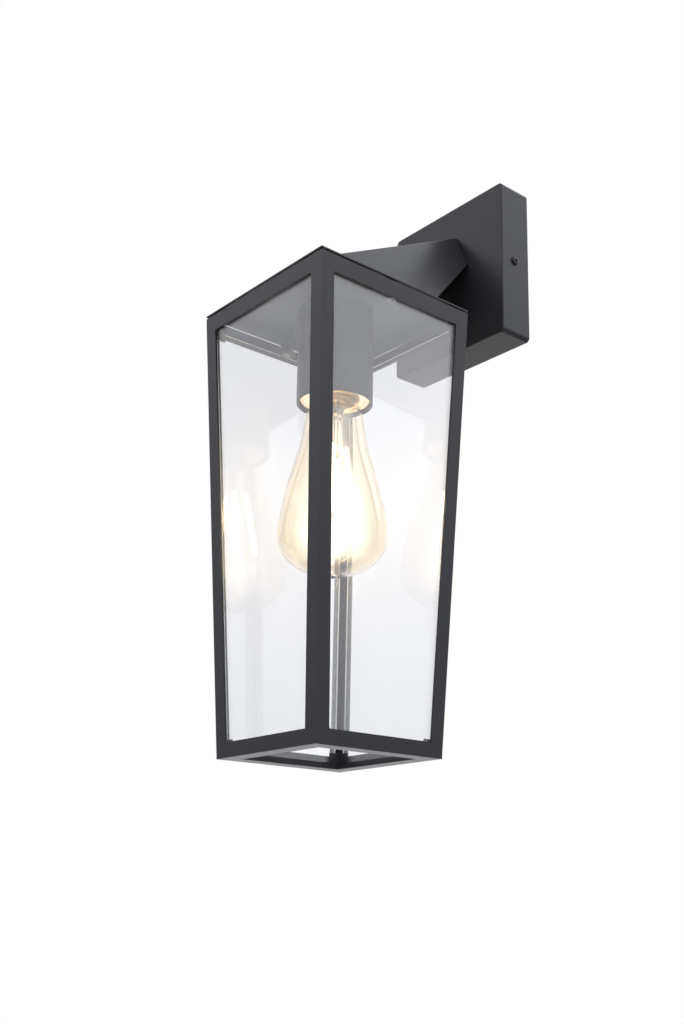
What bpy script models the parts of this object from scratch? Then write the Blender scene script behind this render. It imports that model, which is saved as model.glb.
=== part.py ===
"""Outdoor wall lantern: a tapered four-pane cage under a hollow pyramid neck on a square wall box.

Metres, +Z up. The wall is the plane y = 0 and the lantern stands out of it along -Y. The origin is
the centre of the bracket's back face. The cage, lid, lamp holder and bulb are modelled about the
lantern's own upright axis, from the plane of the cage's bottom edge.
"""
import math

import bmesh
import bpy
import numpy as np
from mathutils import Matrix, Vector

# Driving dimensions
BOX_WIDTH = 0.1023
BOX_HEIGHT = 0.1060
BOX_DEPTH = 0.0244
AXIS_FROM_WALL = 0.1200
LID_BELOW_BOX_CENTRE = 0.0551
CAGE_HEIGHT = 0.2759
CAGE_TOP_WIDTH = 0.1147
CAGE_BOTTOM_WIDTH = 0.0910

# Sheet metal
SHEET = 0.0012
BOX_CORNER_RADIUS = 0.0025
BOX_EDGE_RADIUS = 0.0008
WEEP_HOLE_RADIUS = 0.0020
GAP = 0.0003
HOLE_CLEARANCE = 0.0004
CUT_MARGIN = 0.0020

# Bracket, gasket and their screws
BRACKET_STRIP = 0.0260
BRACKET_SHEET = 0.0015
BRACKET_FLANGE = 0.0190
BRACKET_SIDE_CLEARANCE = 0.0055
SLOT_CENTRE = 0.0325
SLOT_LENGTH = 0.0130
SLOT_WIDTH = 0.0048
GROUND_SCREW_OFFSET = 0.0160
GASKET_WIDTH = 0.0040
GASKET_THICKNESS = 0.0030
SIDE_SCREW_FROM_WALL = 0.0129
SIDE_SCREW_LENGTH = 0.0105
SIDE_SCREW_HEAD_RADIUS = 0.0028
SIDE_SCREW_HEAD_HEIGHT = 0.0016
SCREW_RADIUS = 0.0018
SCREW_HEAD_RADIUS = 0.0036
SCREW_HEAD_HEIGHT = 0.0022

# Neck between box and lid
NECK_SIDE_INSET = 0.00935
NECK_FRONT_REACH = 0.0500
NECK_REAR_REACH = 0.0353
NECK_FOOT_HEIGHT = 0.0058
NECK_FOOT_HALF_WIDTH = 0.0204
NECK_HEAD_HEIGHT = 0.0300
NECK_BRIDGE_WIDTH = 0.0160
NECK_BRIDGE_THICKNESS = 0.0020
NECK_SCREW_OFFSET = 0.0115
NECK_SCREW_HEIGHT = 0.0112
NECK_SCREW_LENGTH = 0.0060
WIRE_HOLE_RADIUS = 0.0050
WIRE_HOLE_HEIGHT = 0.0195

# Lid and cage frame
LID_SHADOW_GAP = 0.0010
POST_WIDTH = 0.0091
TOP_RAIL_HEIGHT = 0.0101
BOTTOM_RAIL_HEIGHT = 0.0088
BOTTOM_FLANGE_DEPTH = 0.0105
CHANNEL_LIP_HEIGHT = 0.0045
CHANNEL_LIP_SHEET = 0.0010
SHELF_BELOW_RAIL_TOP = 0.0060
EAR_RADIUS = 0.0083
EAR_NOTCH = 0.0015
CAGE_SCREW_HEAD_RADIUS = 0.0029
CAGE_SCREW_TO_GLASS = 0.0005
BOSS_RADIUS = 0.0035
BOSS_SCREW_LENGTH = 0.0075

# Glass and its clips
PANE_THICKNESS = 0.0020
PANE_CORNER_SETBACK = 0.0065
CLIP_REACH = 0.0118
CLIP_SHEET = 0.0010
CLIP_HEIGHT = 0.0060

# Lamp holder
CUP_RADIUS = 0.0224
CUP_LENGTH = 0.0592
CUP_EDGE_RADIUS = 0.0012
HOLDER_CLEARANCE = 0.0006
HOLDER_RECESS = 0.0025
HOLDER_LENGTH = 0.0355
HOLDER_CROWN = 0.0050
SOCKET_BORE_RADIUS = 0.0142
SCREW_SHELL_SHEET = 0.0004
HUB_RADIUS = 0.0110
HUB_LENGTH = 0.0080
NIPPLE_RADIUS = 0.0049
NIPPLE_BORE_RADIUS = 0.0036
NIPPLE_LENGTH = 0.0330
LOCKNUT_ACROSS_FLATS = 0.0160
LOCKNUT_THICKNESS = 0.0040
TONGUE_WIDTH = 0.0060
TONGUE_SHEET = 0.0006
LEAD_RADIUS = 0.0011
LEAD_SPACING = 0.0014

# Bulb
BULB_RADIUS = 0.0320
BULB_LENGTH = 0.1410
BULB_WIDEST_ABOVE_TIP = 0.0245
BULB_MOUTH_RADIUS = 0.0122
BULB_GLASS = 0.0008
BULB_TIP_NUB = 0.0016
CAP_RADIUS = 0.0129
CAP_LENGTH = 0.0225
CAP_SHEET = 0.0004
CAP_INSULATOR_HEIGHT = 0.0030
CAP_CONTACT_RADIUS = 0.0046
CAP_CONTACT_HEIGHT = 0.0016
STEM_LENGTH = 0.0400
FILAMENT_LENGTH = 0.0440
FILAMENT_RADIUS = 0.0011
FILAMENT_TOP_RADIUS = 0.0065
FILAMENT_FOOT_RADIUS = 0.0125
FILAMENT_COUNT = 4

ROUND_STEPS = 32
SMALL_STEPS = 16
WIRE_STEPS = 3

# Sizes that follow from the driving dimensions
TOP_HALF = CAGE_TOP_WIDTH / 2
BOTTOM_HALF = CAGE_BOTTOM_WIDTH / 2
LID_UNDERSIDE = CAGE_HEIGHT - SHEET
RAIL_TOP = LID_UNDERSIDE - LID_SHADOW_GAP
RAIL_FOOT = RAIL_TOP - TOP_RAIL_HEIGHT
SHELF_TOP = RAIL_TOP - SHELF_BELOW_RAIL_TOP
SHELF_UNDERSIDE = SHELF_TOP - SHEET
PANE_OUTER = SHEET + GAP
PANE_INNER = PANE_OUTER + PANE_THICKNESS
SHELF_DEPTH = PANE_INNER
PANE_FOOT = SHEET + GAP
PANE_HEAD = SHELF_UNDERSIDE - GAP
CLIP_OUTER = PANE_INNER + GAP
EAR_SCREW_INSET = PANE_INNER + CAGE_SCREW_TO_GLASS + CAGE_SCREW_HEAD_RADIUS
CUP_HEAD = LID_UNDERSIDE - GAP
CUP_FOOT = CUP_HEAD - CUP_LENGTH
HOLDER_FOOT = CUP_FOOT + HOLDER_RECESS
HOLDER_HEAD = HOLDER_FOOT + HOLDER_LENGTH
SOCKET_CEILING = HOLDER_HEAD - HOLDER_CROWN
HOLDER_RADIUS = CUP_RADIUS - SHEET - HOLDER_CLEARANCE
BRIDGE_TOP = CAGE_HEIGHT + GAP + NECK_BRIDGE_THICKNESS
TONGUE_UNDERSIDE = SOCKET_CEILING - GAP - TONGUE_SHEET
BULB_HEAD = TONGUE_UNDERSIDE - GAP
BULB_TIP = BULB_HEAD - BULB_LENGTH
CAP_HEAD = BULB_HEAD - CAP_CONTACT_HEIGHT - CAP_INSULATOR_HEIGHT - 2 * GAP
CAP_FOOT = CAP_HEAD - CAP_LENGTH
BRACKET_HALF = BOX_WIDTH / 2 - SHEET - BRACKET_SIDE_CLEARANCE

# colour, roughness, metallic, transmission
FINISHES = {
    "graphite_paint": ((0.055, 0.056, 0.062), 0.42, 0.35, 0.0),
    "zinc_plate": ((0.55, 0.56, 0.57), 0.38, 1.0, 0.0),
    "black_screw": ((0.04, 0.04, 0.045), 0.35, 0.8, 0.0),
    "gasket_foam": ((0.03, 0.03, 0.03), 0.95, 0.0, 0.0),
    "clear_glass": ((0.93, 0.96, 0.97), 0.02, 0.0, 1.0),
    "holder_cream": ((0.82, 0.79, 0.72), 0.25, 0.0, 0.0),
    "socket_brass": ((0.70, 0.55, 0.28), 0.3, 1.0, 0.0),
    "cap_brass": ((0.72, 0.56, 0.30), 0.25, 1.0, 0.0),
    "amber_glass": ((1.0, 0.86, 0.62), 0.02, 0.0, 1.0),
    "stem_glass": ((0.95, 0.95, 0.93), 0.02, 0.0, 1.0),
    "insulator_black": ((0.02, 0.02, 0.03), 0.2, 0.0, 0.0),
    "filament_glow": ((1.0, 0.72, 0.30), 0.5, 0.0, 0.0),
    "black_lead": ((0.02, 0.02, 0.02), 0.5, 0.0, 0.0),
    "white_lead": ((0.80, 0.80, 0.78), 0.5, 0.0, 0.0),
    "earth_copper": ((0.72, 0.40, 0.22), 0.3, 1.0, 0.0),
    "green_screw": ((0.05, 0.30, 0.10), 0.4, 0.3, 0.0),
}


def clear_scene():
    for obj in list(bpy.data.objects):
        bpy.data.objects.remove(obj, do_unlink=True)


def new_collection(name):
    collection = bpy.data.collections.new(name)
    bpy.context.scene.collection.children.link(collection)
    return collection


def make_materials():
    materials = {}
    for name, (colour, roughness, metallic, transmission) in FINISHES.items():
        material = bpy.data.materials.new(name)
        material.use_nodes = True
        shader = material.node_tree.nodes["Principled BSDF"]
        shader.inputs["Base Color"].default_value = (*colour, 1.0)
        shader.inputs["Roughness"].default_value = roughness
        shader.inputs["Metallic"].default_value = metallic
        shader.inputs["Transmission Weight"].default_value = transmission
        materials[name] = material
    return materials


clear_scene()
LANTERN = new_collection("wall_lantern")
CUTTERS = new_collection("wall_lantern_cutters")
MATERIALS = make_materials()


def empty_at(name, location):
    empty = bpy.data.objects.new(name, None)
    empty.location = location
    LANTERN.objects.link(empty)
    return empty


LANTERN_FOOT = Vector((0.0, -AXIS_FROM_WALL, -LID_BELOW_BOX_CENTRE - CAGE_HEIGHT))
WALL_FRAME = empty_at("wall_frame", (0.0, 0.0, 0.0))
LANTERN_FRAME = empty_at("lantern_frame", LANTERN_FOOT)
BULB_FRAME = empty_at("bulb_frame", LANTERN_FOOT)


# Shapes


def mesh_of(bm, name):
    bmesh.ops.recalc_face_normals(bm, faces=bm.faces)
    mesh = bpy.data.meshes.new(name)
    bm.to_mesh(mesh)
    bm.free()
    return mesh


def block_mesh(low, high):
    """A box between two opposite corners."""
    bm = bmesh.new()
    bmesh.ops.create_cube(bm, size=1.0)
    for vert in bm.verts:
        vert.co = Vector([a + (c + 0.5) * (b - a) for a, b, c in zip(low, high, vert.co)])
    return mesh_of(bm, "block")


def cylinder_mesh(radius, low, high, steps=ROUND_STEPS):
    bm = bmesh.new()
    bmesh.ops.create_cone(
        bm, cap_ends=True, segments=steps, radius1=radius, radius2=radius, depth=high - low
    )
    bmesh.ops.translate(bm, verts=bm.verts, vec=(0.0, 0.0, (low + high) / 2))
    return mesh_of(bm, "cylinder")


def solid_between(planes):
    """A cube moved to where its six planes meet. A plane is (normal, distance); the dict's keys
    are the cube's own face directions."""
    bm = bmesh.new()
    bmesh.ops.create_cube(bm, size=2.0)
    for vert in bm.verts:
        faces = [planes[axis, round(vert.co[axis])] for axis in range(3)]
        normals = np.array([normal for normal, _ in faces])
        distances = np.array([distance for _, distance in faces])
        vert.co = Vector(np.linalg.solve(normals, distances))
    return mesh_of(bm, "solid")


def spline_points(curve, points, cyclic):
    spline = curve.splines.new("POLY")
    spline.points.add(len(points) - 1)
    for target, point in zip(spline.points, points):
        target.co = (point[0], point[1], point[2] if len(point) == 3 else 0.0, 1.0)
    spline.use_cyclic_u = cyclic


def evaluated_mesh(obj):
    """The object's mesh with its modifiers or curve bevel applied and its seams welded."""
    bpy.context.view_layer.update()
    depsgraph = bpy.context.evaluated_depsgraph_get()
    mesh = bpy.data.meshes.new_from_object(obj.evaluated_get(depsgraph), depsgraph=depsgraph)
    bm = bmesh.new()
    bm.from_mesh(mesh)
    bmesh.ops.remove_doubles(bm, verts=bm.verts, dist=0.000001)
    bm.to_mesh(mesh)
    bm.free()
    return mesh


def mesh_and_remove(obj):
    mesh = evaluated_mesh(obj)
    data = obj.data
    bpy.data.objects.remove(obj, do_unlink=True)
    if isinstance(data, bpy.types.Curve):
        bpy.data.curves.remove(data)
    return mesh


def plate_mesh(outlines, low, high):
    """A flat outline, or an outline with holes in it, extruded from low to high along Z."""
    curve = bpy.data.curves.new("outline", "CURVE")
    curve.dimensions = "2D"
    curve.fill_mode = "BOTH"
    curve.extrude = (high - low) / 2
    for outline in outlines:
        spline_points(curve, outline, True)
    obj = bpy.data.objects.new("outline", curve)
    CUTTERS.objects.link(obj)
    mesh = mesh_and_remove(obj)
    for vert in mesh.vertices:
        vert.co.z = high if vert.co.z > 0 else low
    return mesh


def turned_mesh(profile, steps=ROUND_STEPS):
    """A profile of (radius, height), given down its outer side, turned about Z."""
    bm = bmesh.new()
    verts = [bm.verts.new((radius, 0.0, height)) for radius, height in profile]
    for first, second in zip(verts, verts[1:]):
        bm.edges.new((first, second))
    if profile[0][0] > 0 and profile[-1][0] > 0:
        bm.edges.new((verts[-1], verts[0]))
    mesh = bpy.data.meshes.new("profile")
    bm.to_mesh(mesh)
    bm.free()
    obj = bpy.data.objects.new("profile", mesh)
    CUTTERS.objects.link(obj)
    screw = obj.modifiers.new("turn", "SCREW")
    screw.axis = "Z"
    screw.steps = steps
    screw.render_steps = steps
    screw.use_merge_vertices = True
    screw.merge_threshold = 0.00001
    turned = mesh_and_remove(obj)
    bpy.data.meshes.remove(mesh)
    bm = bmesh.new()
    bm.from_mesh(turned)
    bmesh.ops.recalc_face_normals(bm, faces=bm.faces)
    bm.to_mesh(turned)
    bm.free()
    return turned


def arc(centre, radius, start, end, steps):
    """Points on an arc, from one angle in degrees to another."""
    points = []
    for step in range(steps + 1):
        angle = math.radians(start + (end - start) * step / steps)
        points.append((centre[0] + radius * math.cos(angle), centre[1] + radius * math.sin(angle)))
    return points


def rounded_rectangle(half_width, half_height, radius, steps=4):
    points = []
    for index, (sx, sy) in enumerate(((1, 1), (-1, 1), (-1, -1), (1, -1))):
        centre = (sx * (half_width - radius), sy * (half_height - radius))
        points += arc(centre, radius, 90 * index, 90 * index + 90, steps)
    return points


def moved(mesh, matrix):
    mesh.transform(matrix)
    return mesh


def combined(base, added=(), cut=()):
    """One mesh with others joined on by Boolean union, and then others cut away."""
    body = bpy.data.objects.new("body", base)
    CUTTERS.objects.link(body)
    tools = []
    for operation, meshes in (("UNION", added), ("DIFFERENCE", cut)):
        for mesh in meshes:
            tool = bpy.data.objects.new("tool", mesh)
            tool.hide_render = True
            tool.display_type = "WIRE"
            CUTTERS.objects.link(tool)
            tools.append(tool)
            modifier = body.modifiers.new(operation.lower(), "BOOLEAN")
            modifier.operation = operation
            modifier.solver = "EXACT"
            modifier.object = tool
    result = mesh_and_remove(body)
    for tool in tools:
        mesh = tool.data
        bpy.data.objects.remove(tool, do_unlink=True)
        bpy.data.meshes.remove(mesh)
    bpy.data.meshes.remove(base)
    return result


def shade_round(mesh, angle=35.0):
    mesh.shade_smooth()
    mesh.set_sharp_from_angle(angle=math.radians(angle))


def add_part(name, mesh, finish, frame, turn=0.0, location=(0.0, 0.0, 0.0), round_shape=False):
    """A named sub-part: its mesh, its finish and its place in its frame."""
    if round_shape:
        shade_round(mesh)
    obj = bpy.data.objects.new(name, mesh)
    LANTERN.objects.link(obj)
    obj.parent = frame
    obj.location = location
    obj.rotation_euler = (0.0, 0.0, math.radians(turn))
    if not mesh.materials:
        mesh.materials.append(MATERIALS[finish])
    return obj


X_AXIS_TURN = Matrix.Rotation(math.radians(90.0), 4, "Y")
Y_AXIS_TURN = Matrix.Rotation(math.radians(-90.0), 4, "X")


def screw_mesh(head_radius, head_height, shank_radius, length):
    """A pan-head screw whose head stands above z = 0 and whose shank hangs below it, with a
    cross recess."""
    dome = [
        (0.0, head_height),
        (head_radius * 0.55, head_height * 0.94),
        (head_radius * 0.88, head_height * 0.66),
        (head_radius, head_height * 0.30),
        (head_radius, 0.0),
    ]
    shank = [
        (shank_radius, 0.0),
        (shank_radius, shank_radius * 0.5 - length),
        (shank_radius * 0.5, -length),
        (0.0, -length),
    ]
    body = turned_mesh(dome + shank, SMALL_STEPS)
    reach, width, depth = head_radius * 0.55, head_radius * 0.13, head_height * 0.45
    long_slot = block_mesh((-reach, -width, depth), (reach, width, head_height + CUT_MARGIN))
    cross_slot = block_mesh((-width, -reach, depth), (width, reach, head_height + CUT_MARGIN))
    recess = combined(long_slot, added=[cross_slot])
    return combined(body, cut=[recess])


# Wall side


def make_bracket():
    half, strip = BRACKET_HALF, BRACKET_STRIP / 2
    inner = half - BRACKET_SHEET
    profile = [
        (-half, 0.0), (half, 0.0), (half, -BRACKET_FLANGE), (inner, -BRACKET_FLANGE),
        (inner, -BRACKET_SHEET), (-inner, -BRACKET_SHEET), (-inner, -BRACKET_FLANGE),
        (-half, -BRACKET_FLANGE),
    ]
    strip_mesh = plate_mesh([profile], -strip, strip)
    cutters = []
    for side in (-1, 1):
        slot_half = (SLOT_LENGTH - SLOT_WIDTH) / 2
        outline = arc((slot_half, 0.0), SLOT_WIDTH / 2, -90, 90, 8)
        outline += arc((-slot_half, 0.0), SLOT_WIDTH / 2, 90, 270, 8)
        slot = plate_mesh([outline], -BRACKET_SHEET - CUT_MARGIN, CUT_MARGIN)
        slot.transform(Y_AXIS_TURN)
        cutters.append(moved(slot, Matrix.Translation((side * SLOT_CENTRE, -BRACKET_SHEET, 0.0))))
        hole = cylinder_mesh(
            SCREW_RADIUS + HOLE_CLEARANCE, -BRACKET_SHEET - CUT_MARGIN, CUT_MARGIN, SMALL_STEPS
        )
        hole.transform(X_AXIS_TURN)
        cutters.append(moved(hole, Matrix.Translation((side * half, -SIDE_SCREW_FROM_WALL, 0.0))))
    ground = cylinder_mesh(
        SCREW_RADIUS + HOLE_CLEARANCE, -BRACKET_SHEET - CUT_MARGIN, CUT_MARGIN, SMALL_STEPS
    )
    ground.transform(Y_AXIS_TURN)
    cutters.append(moved(ground, Matrix.Translation((GROUND_SCREW_OFFSET, -BRACKET_SHEET, 0.0))))
    add_part("mounting_bracket", combined(strip_mesh, cut=cutters), "zinc_plate", WALL_FRAME)

    screw = screw_mesh(SCREW_HEAD_RADIUS, SCREW_HEAD_HEIGHT, SCREW_RADIUS, BRACKET_SHEET)
    screw.transform(Matrix.Rotation(math.radians(90.0), 4, "X"))
    add_part(
        "ground_screw", screw, "green_screw", WALL_FRAME,
        location=(GROUND_SCREW_OFFSET, -BRACKET_SHEET - GAP, 0.0),
    )


def make_wall_box():
    bm = bmesh.new()
    bmesh.ops.create_cube(bm, size=1.0)
    for vert in bm.verts:
        vert.co = Vector((
            vert.co.x * BOX_WIDTH, (vert.co.y - 0.5) * BOX_DEPTH, vert.co.z * BOX_HEIGHT
        ))
    deep_edges = [e for e in bm.edges if abs(e.verts[0].co.y - e.verts[1].co.y) > BOX_DEPTH / 2]
    bmesh.ops.bevel(
        bm, geom=deep_edges, offset=BOX_CORNER_RADIUS, segments=3, profile=0.5, affect="EDGES"
    )
    bm.normal_update()
    back = [face for face in bm.faces if face.normal.y > 0.9]
    bmesh.ops.delete(bm, geom=back, context="FACES_ONLY")
    front_edges = [e for e in bm.edges if all(v.co.y < -BOX_DEPTH * 0.9 for v in e.verts)]
    bmesh.ops.bevel(
        bm, geom=front_edges, offset=BOX_EDGE_RADIUS, segments=2, profile=0.5, affect="EDGES"
    )
    mesh = bpy.data.meshes.new("box_skin")
    bm.to_mesh(mesh)
    bm.free()
    skin = bpy.data.objects.new("box_skin", mesh)
    CUTTERS.objects.link(skin)
    wall = skin.modifiers.new("wall", "SOLIDIFY")
    wall.thickness = SHEET
    wall.offset = -1.0
    wall.use_even_offset = True
    shell = mesh_and_remove(skin)

    cutters = []
    for side in (-1, 1):
        hole = cylinder_mesh(SCREW_RADIUS + HOLE_CLEARANCE, -SHEET - CUT_MARGIN, CUT_MARGIN, SMALL_STEPS)
        hole.transform(X_AXIS_TURN)
        cutters.append(moved(
            hole, Matrix.Translation((side * BOX_WIDTH / 2, -SIDE_SCREW_FROM_WALL, 0.0))
        ))
        hole = cylinder_mesh(SCREW_RADIUS + HOLE_CLEARANCE, -SHEET - CUT_MARGIN, CUT_MARGIN, SMALL_STEPS)
        hole.transform(Y_AXIS_TURN)
        place = (side * NECK_SCREW_OFFSET, -BOX_DEPTH, NECK_SCREW_HEIGHT)
        cutters.append(moved(hole, Matrix.Translation(place)))
    wire_hole = cylinder_mesh(WIRE_HOLE_RADIUS, -SHEET - CUT_MARGIN, CUT_MARGIN, SMALL_STEPS)
    wire_hole.transform(Y_AXIS_TURN)
    cutters.append(moved(wire_hole, Matrix.Translation((0.0, -BOX_DEPTH, WIRE_HOLE_HEIGHT))))
    weep_hole = cylinder_mesh(WEEP_HOLE_RADIUS, -CUT_MARGIN, SHEET + CUT_MARGIN, SMALL_STEPS)
    cutters.append(moved(weep_hole, Matrix.Translation((0.0, -BOX_DEPTH / 2, -BOX_HEIGHT / 2))))
    add_part("wall_box", combined(shell, cut=cutters), "graphite_paint", WALL_FRAME)

    half_width = BOX_WIDTH / 2 - SHEET - GAP
    half_height = BOX_HEIGHT / 2 - SHEET - GAP
    outer = rounded_rectangle(half_width, half_height, BOX_CORNER_RADIUS)
    inner = rounded_rectangle(
        half_width - GASKET_WIDTH, half_height - GASKET_WIDTH, BOX_CORNER_RADIUS
    )
    ring = plate_mesh([outer, inner], 0.0, GASKET_THICKNESS)
    ring.transform(Matrix.Rotation(math.radians(90.0), 4, "X"))
    add_part("box_gasket", ring, "gasket_foam", WALL_FRAME)

    screw = screw_mesh(
        SIDE_SCREW_HEAD_RADIUS, SIDE_SCREW_HEAD_HEIGHT, SCREW_RADIUS, SIDE_SCREW_LENGTH
    )
    screw.transform(X_AXIS_TURN)
    for name, side in (("side_screw_right", 1), ("side_screw_left", -1)):
        add_part(
            name, screw, "black_screw", WALL_FRAME, turn=90.0 - 90.0 * side,
            location=(side * (BOX_WIDTH / 2 + GAP), -SIDE_SCREW_FROM_WALL, 0.0),
        )


# Neck


def neck_planes(inset, base_height):
    """The neck's six planes in the wall's frame, each moved inwards by inset, on a base plane."""
    lid_top = -LID_BELOW_BOX_CENTRE
    base_half = TOP_HALF - NECK_SIDE_INSET
    front_y, rear_y = -AXIS_FROM_WALL - NECK_FRONT_REACH, -AXIS_FROM_WALL + NECK_REAR_REACH
    end_y = -BOX_DEPTH - GAP

    side = np.array([NECK_FOOT_HEIGHT - lid_top, base_half - NECK_FOOT_HALF_WIDTH])
    side = side / np.linalg.norm(side)
    roof = np.array([front_y - end_y, NECK_HEAD_HEIGHT - lid_top])
    roof = np.array([-roof[1], -roof[0]]) / np.linalg.norm(roof)
    belly = np.array([end_y - rear_y, NECK_FOOT_HEIGHT - lid_top])
    belly = np.array([belly[1], -belly[0]]) / np.linalg.norm(belly)

    planes = {}
    for direction in (-1, 1):
        normal = (direction * side[0], 0.0, side[1])
        planes[0, direction] = (normal, side @ (base_half, lid_top) - inset)
    planes[2, 1] = ((0.0, roof[0], roof[1]), roof @ (front_y, lid_top) - inset)
    planes[1, 1] = ((0.0, 1.0, 0.0), end_y - inset)
    planes[2, -1] = ((0.0, belly[0], belly[1]), belly @ (rear_y, lid_top) - inset)
    planes[1, -1] = ((0.0, 0.0, -1.0), -base_height)
    return planes


def make_neck():
    lid_top = -LID_BELOW_BOX_CENTRE
    outer = solid_between(neck_planes(0.0, lid_top + GAP))
    hollow = solid_between(neck_planes(SHEET, lid_top - CUT_MARGIN))

    base_half = TOP_HALF - NECK_SIDE_INSET
    strap_half = base_half - SHEET
    strap = block_mesh(
        (-strap_half, -AXIS_FROM_WALL - NECK_BRIDGE_WIDTH / 2, lid_top + GAP),
        (strap_half, -AXIS_FROM_WALL + NECK_BRIDGE_WIDTH / 2, lid_top + GAP + NECK_BRIDGE_THICKNESS),
    )
    cutters = []
    nipple_hole = cylinder_mesh(NIPPLE_RADIUS + HOLE_CLEARANCE, -CUT_MARGIN, NECK_BRIDGE_THICKNESS * 2)
    cutters.append(moved(nipple_hole, Matrix.Translation((0.0, -AXIS_FROM_WALL, lid_top))))
    end_y = -BOX_DEPTH - GAP
    wire_hole = cylinder_mesh(WIRE_HOLE_RADIUS, -SHEET - CUT_MARGIN, CUT_MARGIN, SMALL_STEPS)
    wire_hole.transform(Y_AXIS_TURN)
    cutters.append(moved(wire_hole, Matrix.Translation((0.0, end_y, WIRE_HOLE_HEIGHT))))
    for side in (-1, 1):
        hole = cylinder_mesh(SCREW_RADIUS + HOLE_CLEARANCE, -SHEET - CUT_MARGIN, CUT_MARGIN, SMALL_STEPS)
        hole.transform(Y_AXIS_TURN)
        place = (side * NECK_SCREW_OFFSET, end_y, NECK_SCREW_HEIGHT)
        cutters.append(moved(hole, Matrix.Translation(place)))
    hood = combined(outer, cut=[hollow])
    hood = combined(hood, added=[strap], cut=cutters)
    add_part("neck", hood, "graphite_paint", WALL_FRAME)

    screw = screw_mesh(SCREW_HEAD_RADIUS, SCREW_HEAD_HEIGHT, SCREW_RADIUS, NECK_SCREW_LENGTH)
    screw.transform(Y_AXIS_TURN)
    for name, side in (("neck_screw_right", 1), ("neck_screw_left", -1)):
        add_part(
            name, screw, "zinc_plate", WALL_FRAME,
            location=(side * NECK_SCREW_OFFSET, -BOX_DEPTH + SHEET + GAP, NECK_SCREW_HEIGHT),
        )


# Lid and cage


def half_width_at(height):
    """Half the cage's outer width at a height over its bottom edge."""
    return BOTTOM_HALF + (TOP_HALF - BOTTOM_HALF) * height / CAGE_HEIGHT


def leaning_slab(low, high, outer, inner, end_clearance):
    """A slab that leans with the cage's front face, between two depths from its outer plane,
    ending short of the cage's corners."""
    bm = bmesh.new()
    bmesh.ops.create_cube(bm, size=2.0)
    for vert in bm.verts:
        height = high if vert.co.z > 0 else low
        depth = inner if vert.co.y > 0 else outer
        half = half_width_at(height)
        vert.co = Vector((vert.co.x * (half - end_clearance), depth - half, height))
    return mesh_of(bm, "slab")


def inward_strip(height, depth, bump=()):
    """The outline of a flat strip behind the front face: narrow enough between the posts to meet
    the rail's web, mitred at the corners, with an optional bump on its inner edge."""
    half = half_width_at(height)
    between_posts = half - POST_WIDTH - GAP - SHEET
    behind_posts = SHEET + GAP
    corner = behind_posts + GAP
    root = SHEET / 2
    mitre = GAP
    outline = [
        (-between_posts, root - half), (between_posts, root - half),
        (between_posts, behind_posts - half),
        (half - corner - mitre, corner - half),
        (half - depth - mitre, depth - half),
    ]
    outline += [(x, depth - half + y) for x, y in bump]
    outline += [
        (depth + mitre - half, depth - half),
        (corner + mitre - half, corner - half),
        (-between_posts, behind_posts - half),
    ]
    return outline


def ear_outline():
    """A half-round ear with a small relief notch where each end meets the strip."""
    notch = EAR_NOTCH
    right = [(EAR_RADIUS + notch, 0.0), (EAR_RADIUS + notch, -notch), (EAR_RADIUS, -notch)]
    left = [(-x, y) for x, y in reversed(right)]
    return right + arc((0.0, 0.0), EAR_RADIUS, 0, 180, 16) + left


def top_rail_mesh(with_ear):
    web = leaning_slab(RAIL_FOOT, RAIL_TOP, 0.0, SHEET, POST_WIDTH + GAP)
    bump = ear_outline() if with_ear else ()
    shelf = plate_mesh([inward_strip(SHELF_UNDERSIDE, SHELF_DEPTH, bump)], SHELF_UNDERSIDE, SHELF_TOP)
    holes = []
    if with_ear:
        hole = cylinder_mesh(
            SCREW_RADIUS + HOLE_CLEARANCE, SHELF_UNDERSIDE - CUT_MARGIN, SHELF_TOP + CUT_MARGIN,
            SMALL_STEPS,
        )
        inset = half_width_at(SHELF_UNDERSIDE) - EAR_SCREW_INSET
        holes.append(moved(hole, Matrix.Translation((0.0, -inset, 0.0))))
    return combined(web, added=[shelf], cut=holes)


def bottom_rail_mesh():
    """The bottom rail: a leaning web, a flat flange and the low lip that keeps the glass in."""
    web = leaning_slab(0.0, BOTTOM_RAIL_HEIGHT, 0.0, SHEET, POST_WIDTH + GAP)
    flange = plate_mesh([inward_strip(0.0, BOTTOM_FLANGE_DEPTH)], 0.0, SHEET)
    lip = leaning_slab(
        SHEET / 2, CHANNEL_LIP_HEIGHT, CLIP_OUTER, CLIP_OUTER + CHANNEL_LIP_SHEET,
        CLIP_OUTER + CHANNEL_LIP_SHEET + GAP,
    )
    return combined(web, added=[flange, lip])


def post_mesh():
    """An L-section post at the front right corner, leaning along the corner line."""
    outline = [
        (0.0, 0.0), (0.0, POST_WIDTH), (-SHEET, POST_WIDTH), (-SHEET, SHEET),
        (-POST_WIDTH, SHEET), (-POST_WIDTH, 0.0),
    ]
    mesh = plate_mesh([outline], 0.0, RAIL_TOP)
    lean = Matrix.Identity(4)
    slope = (TOP_HALF - BOTTOM_HALF) / CAGE_HEIGHT
    lean[0][2], lean[1][2] = slope, -slope
    mesh.transform(Matrix.Translation((BOTTOM_HALF, -BOTTOM_HALF, 0.0)) @ lean)
    return mesh


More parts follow.
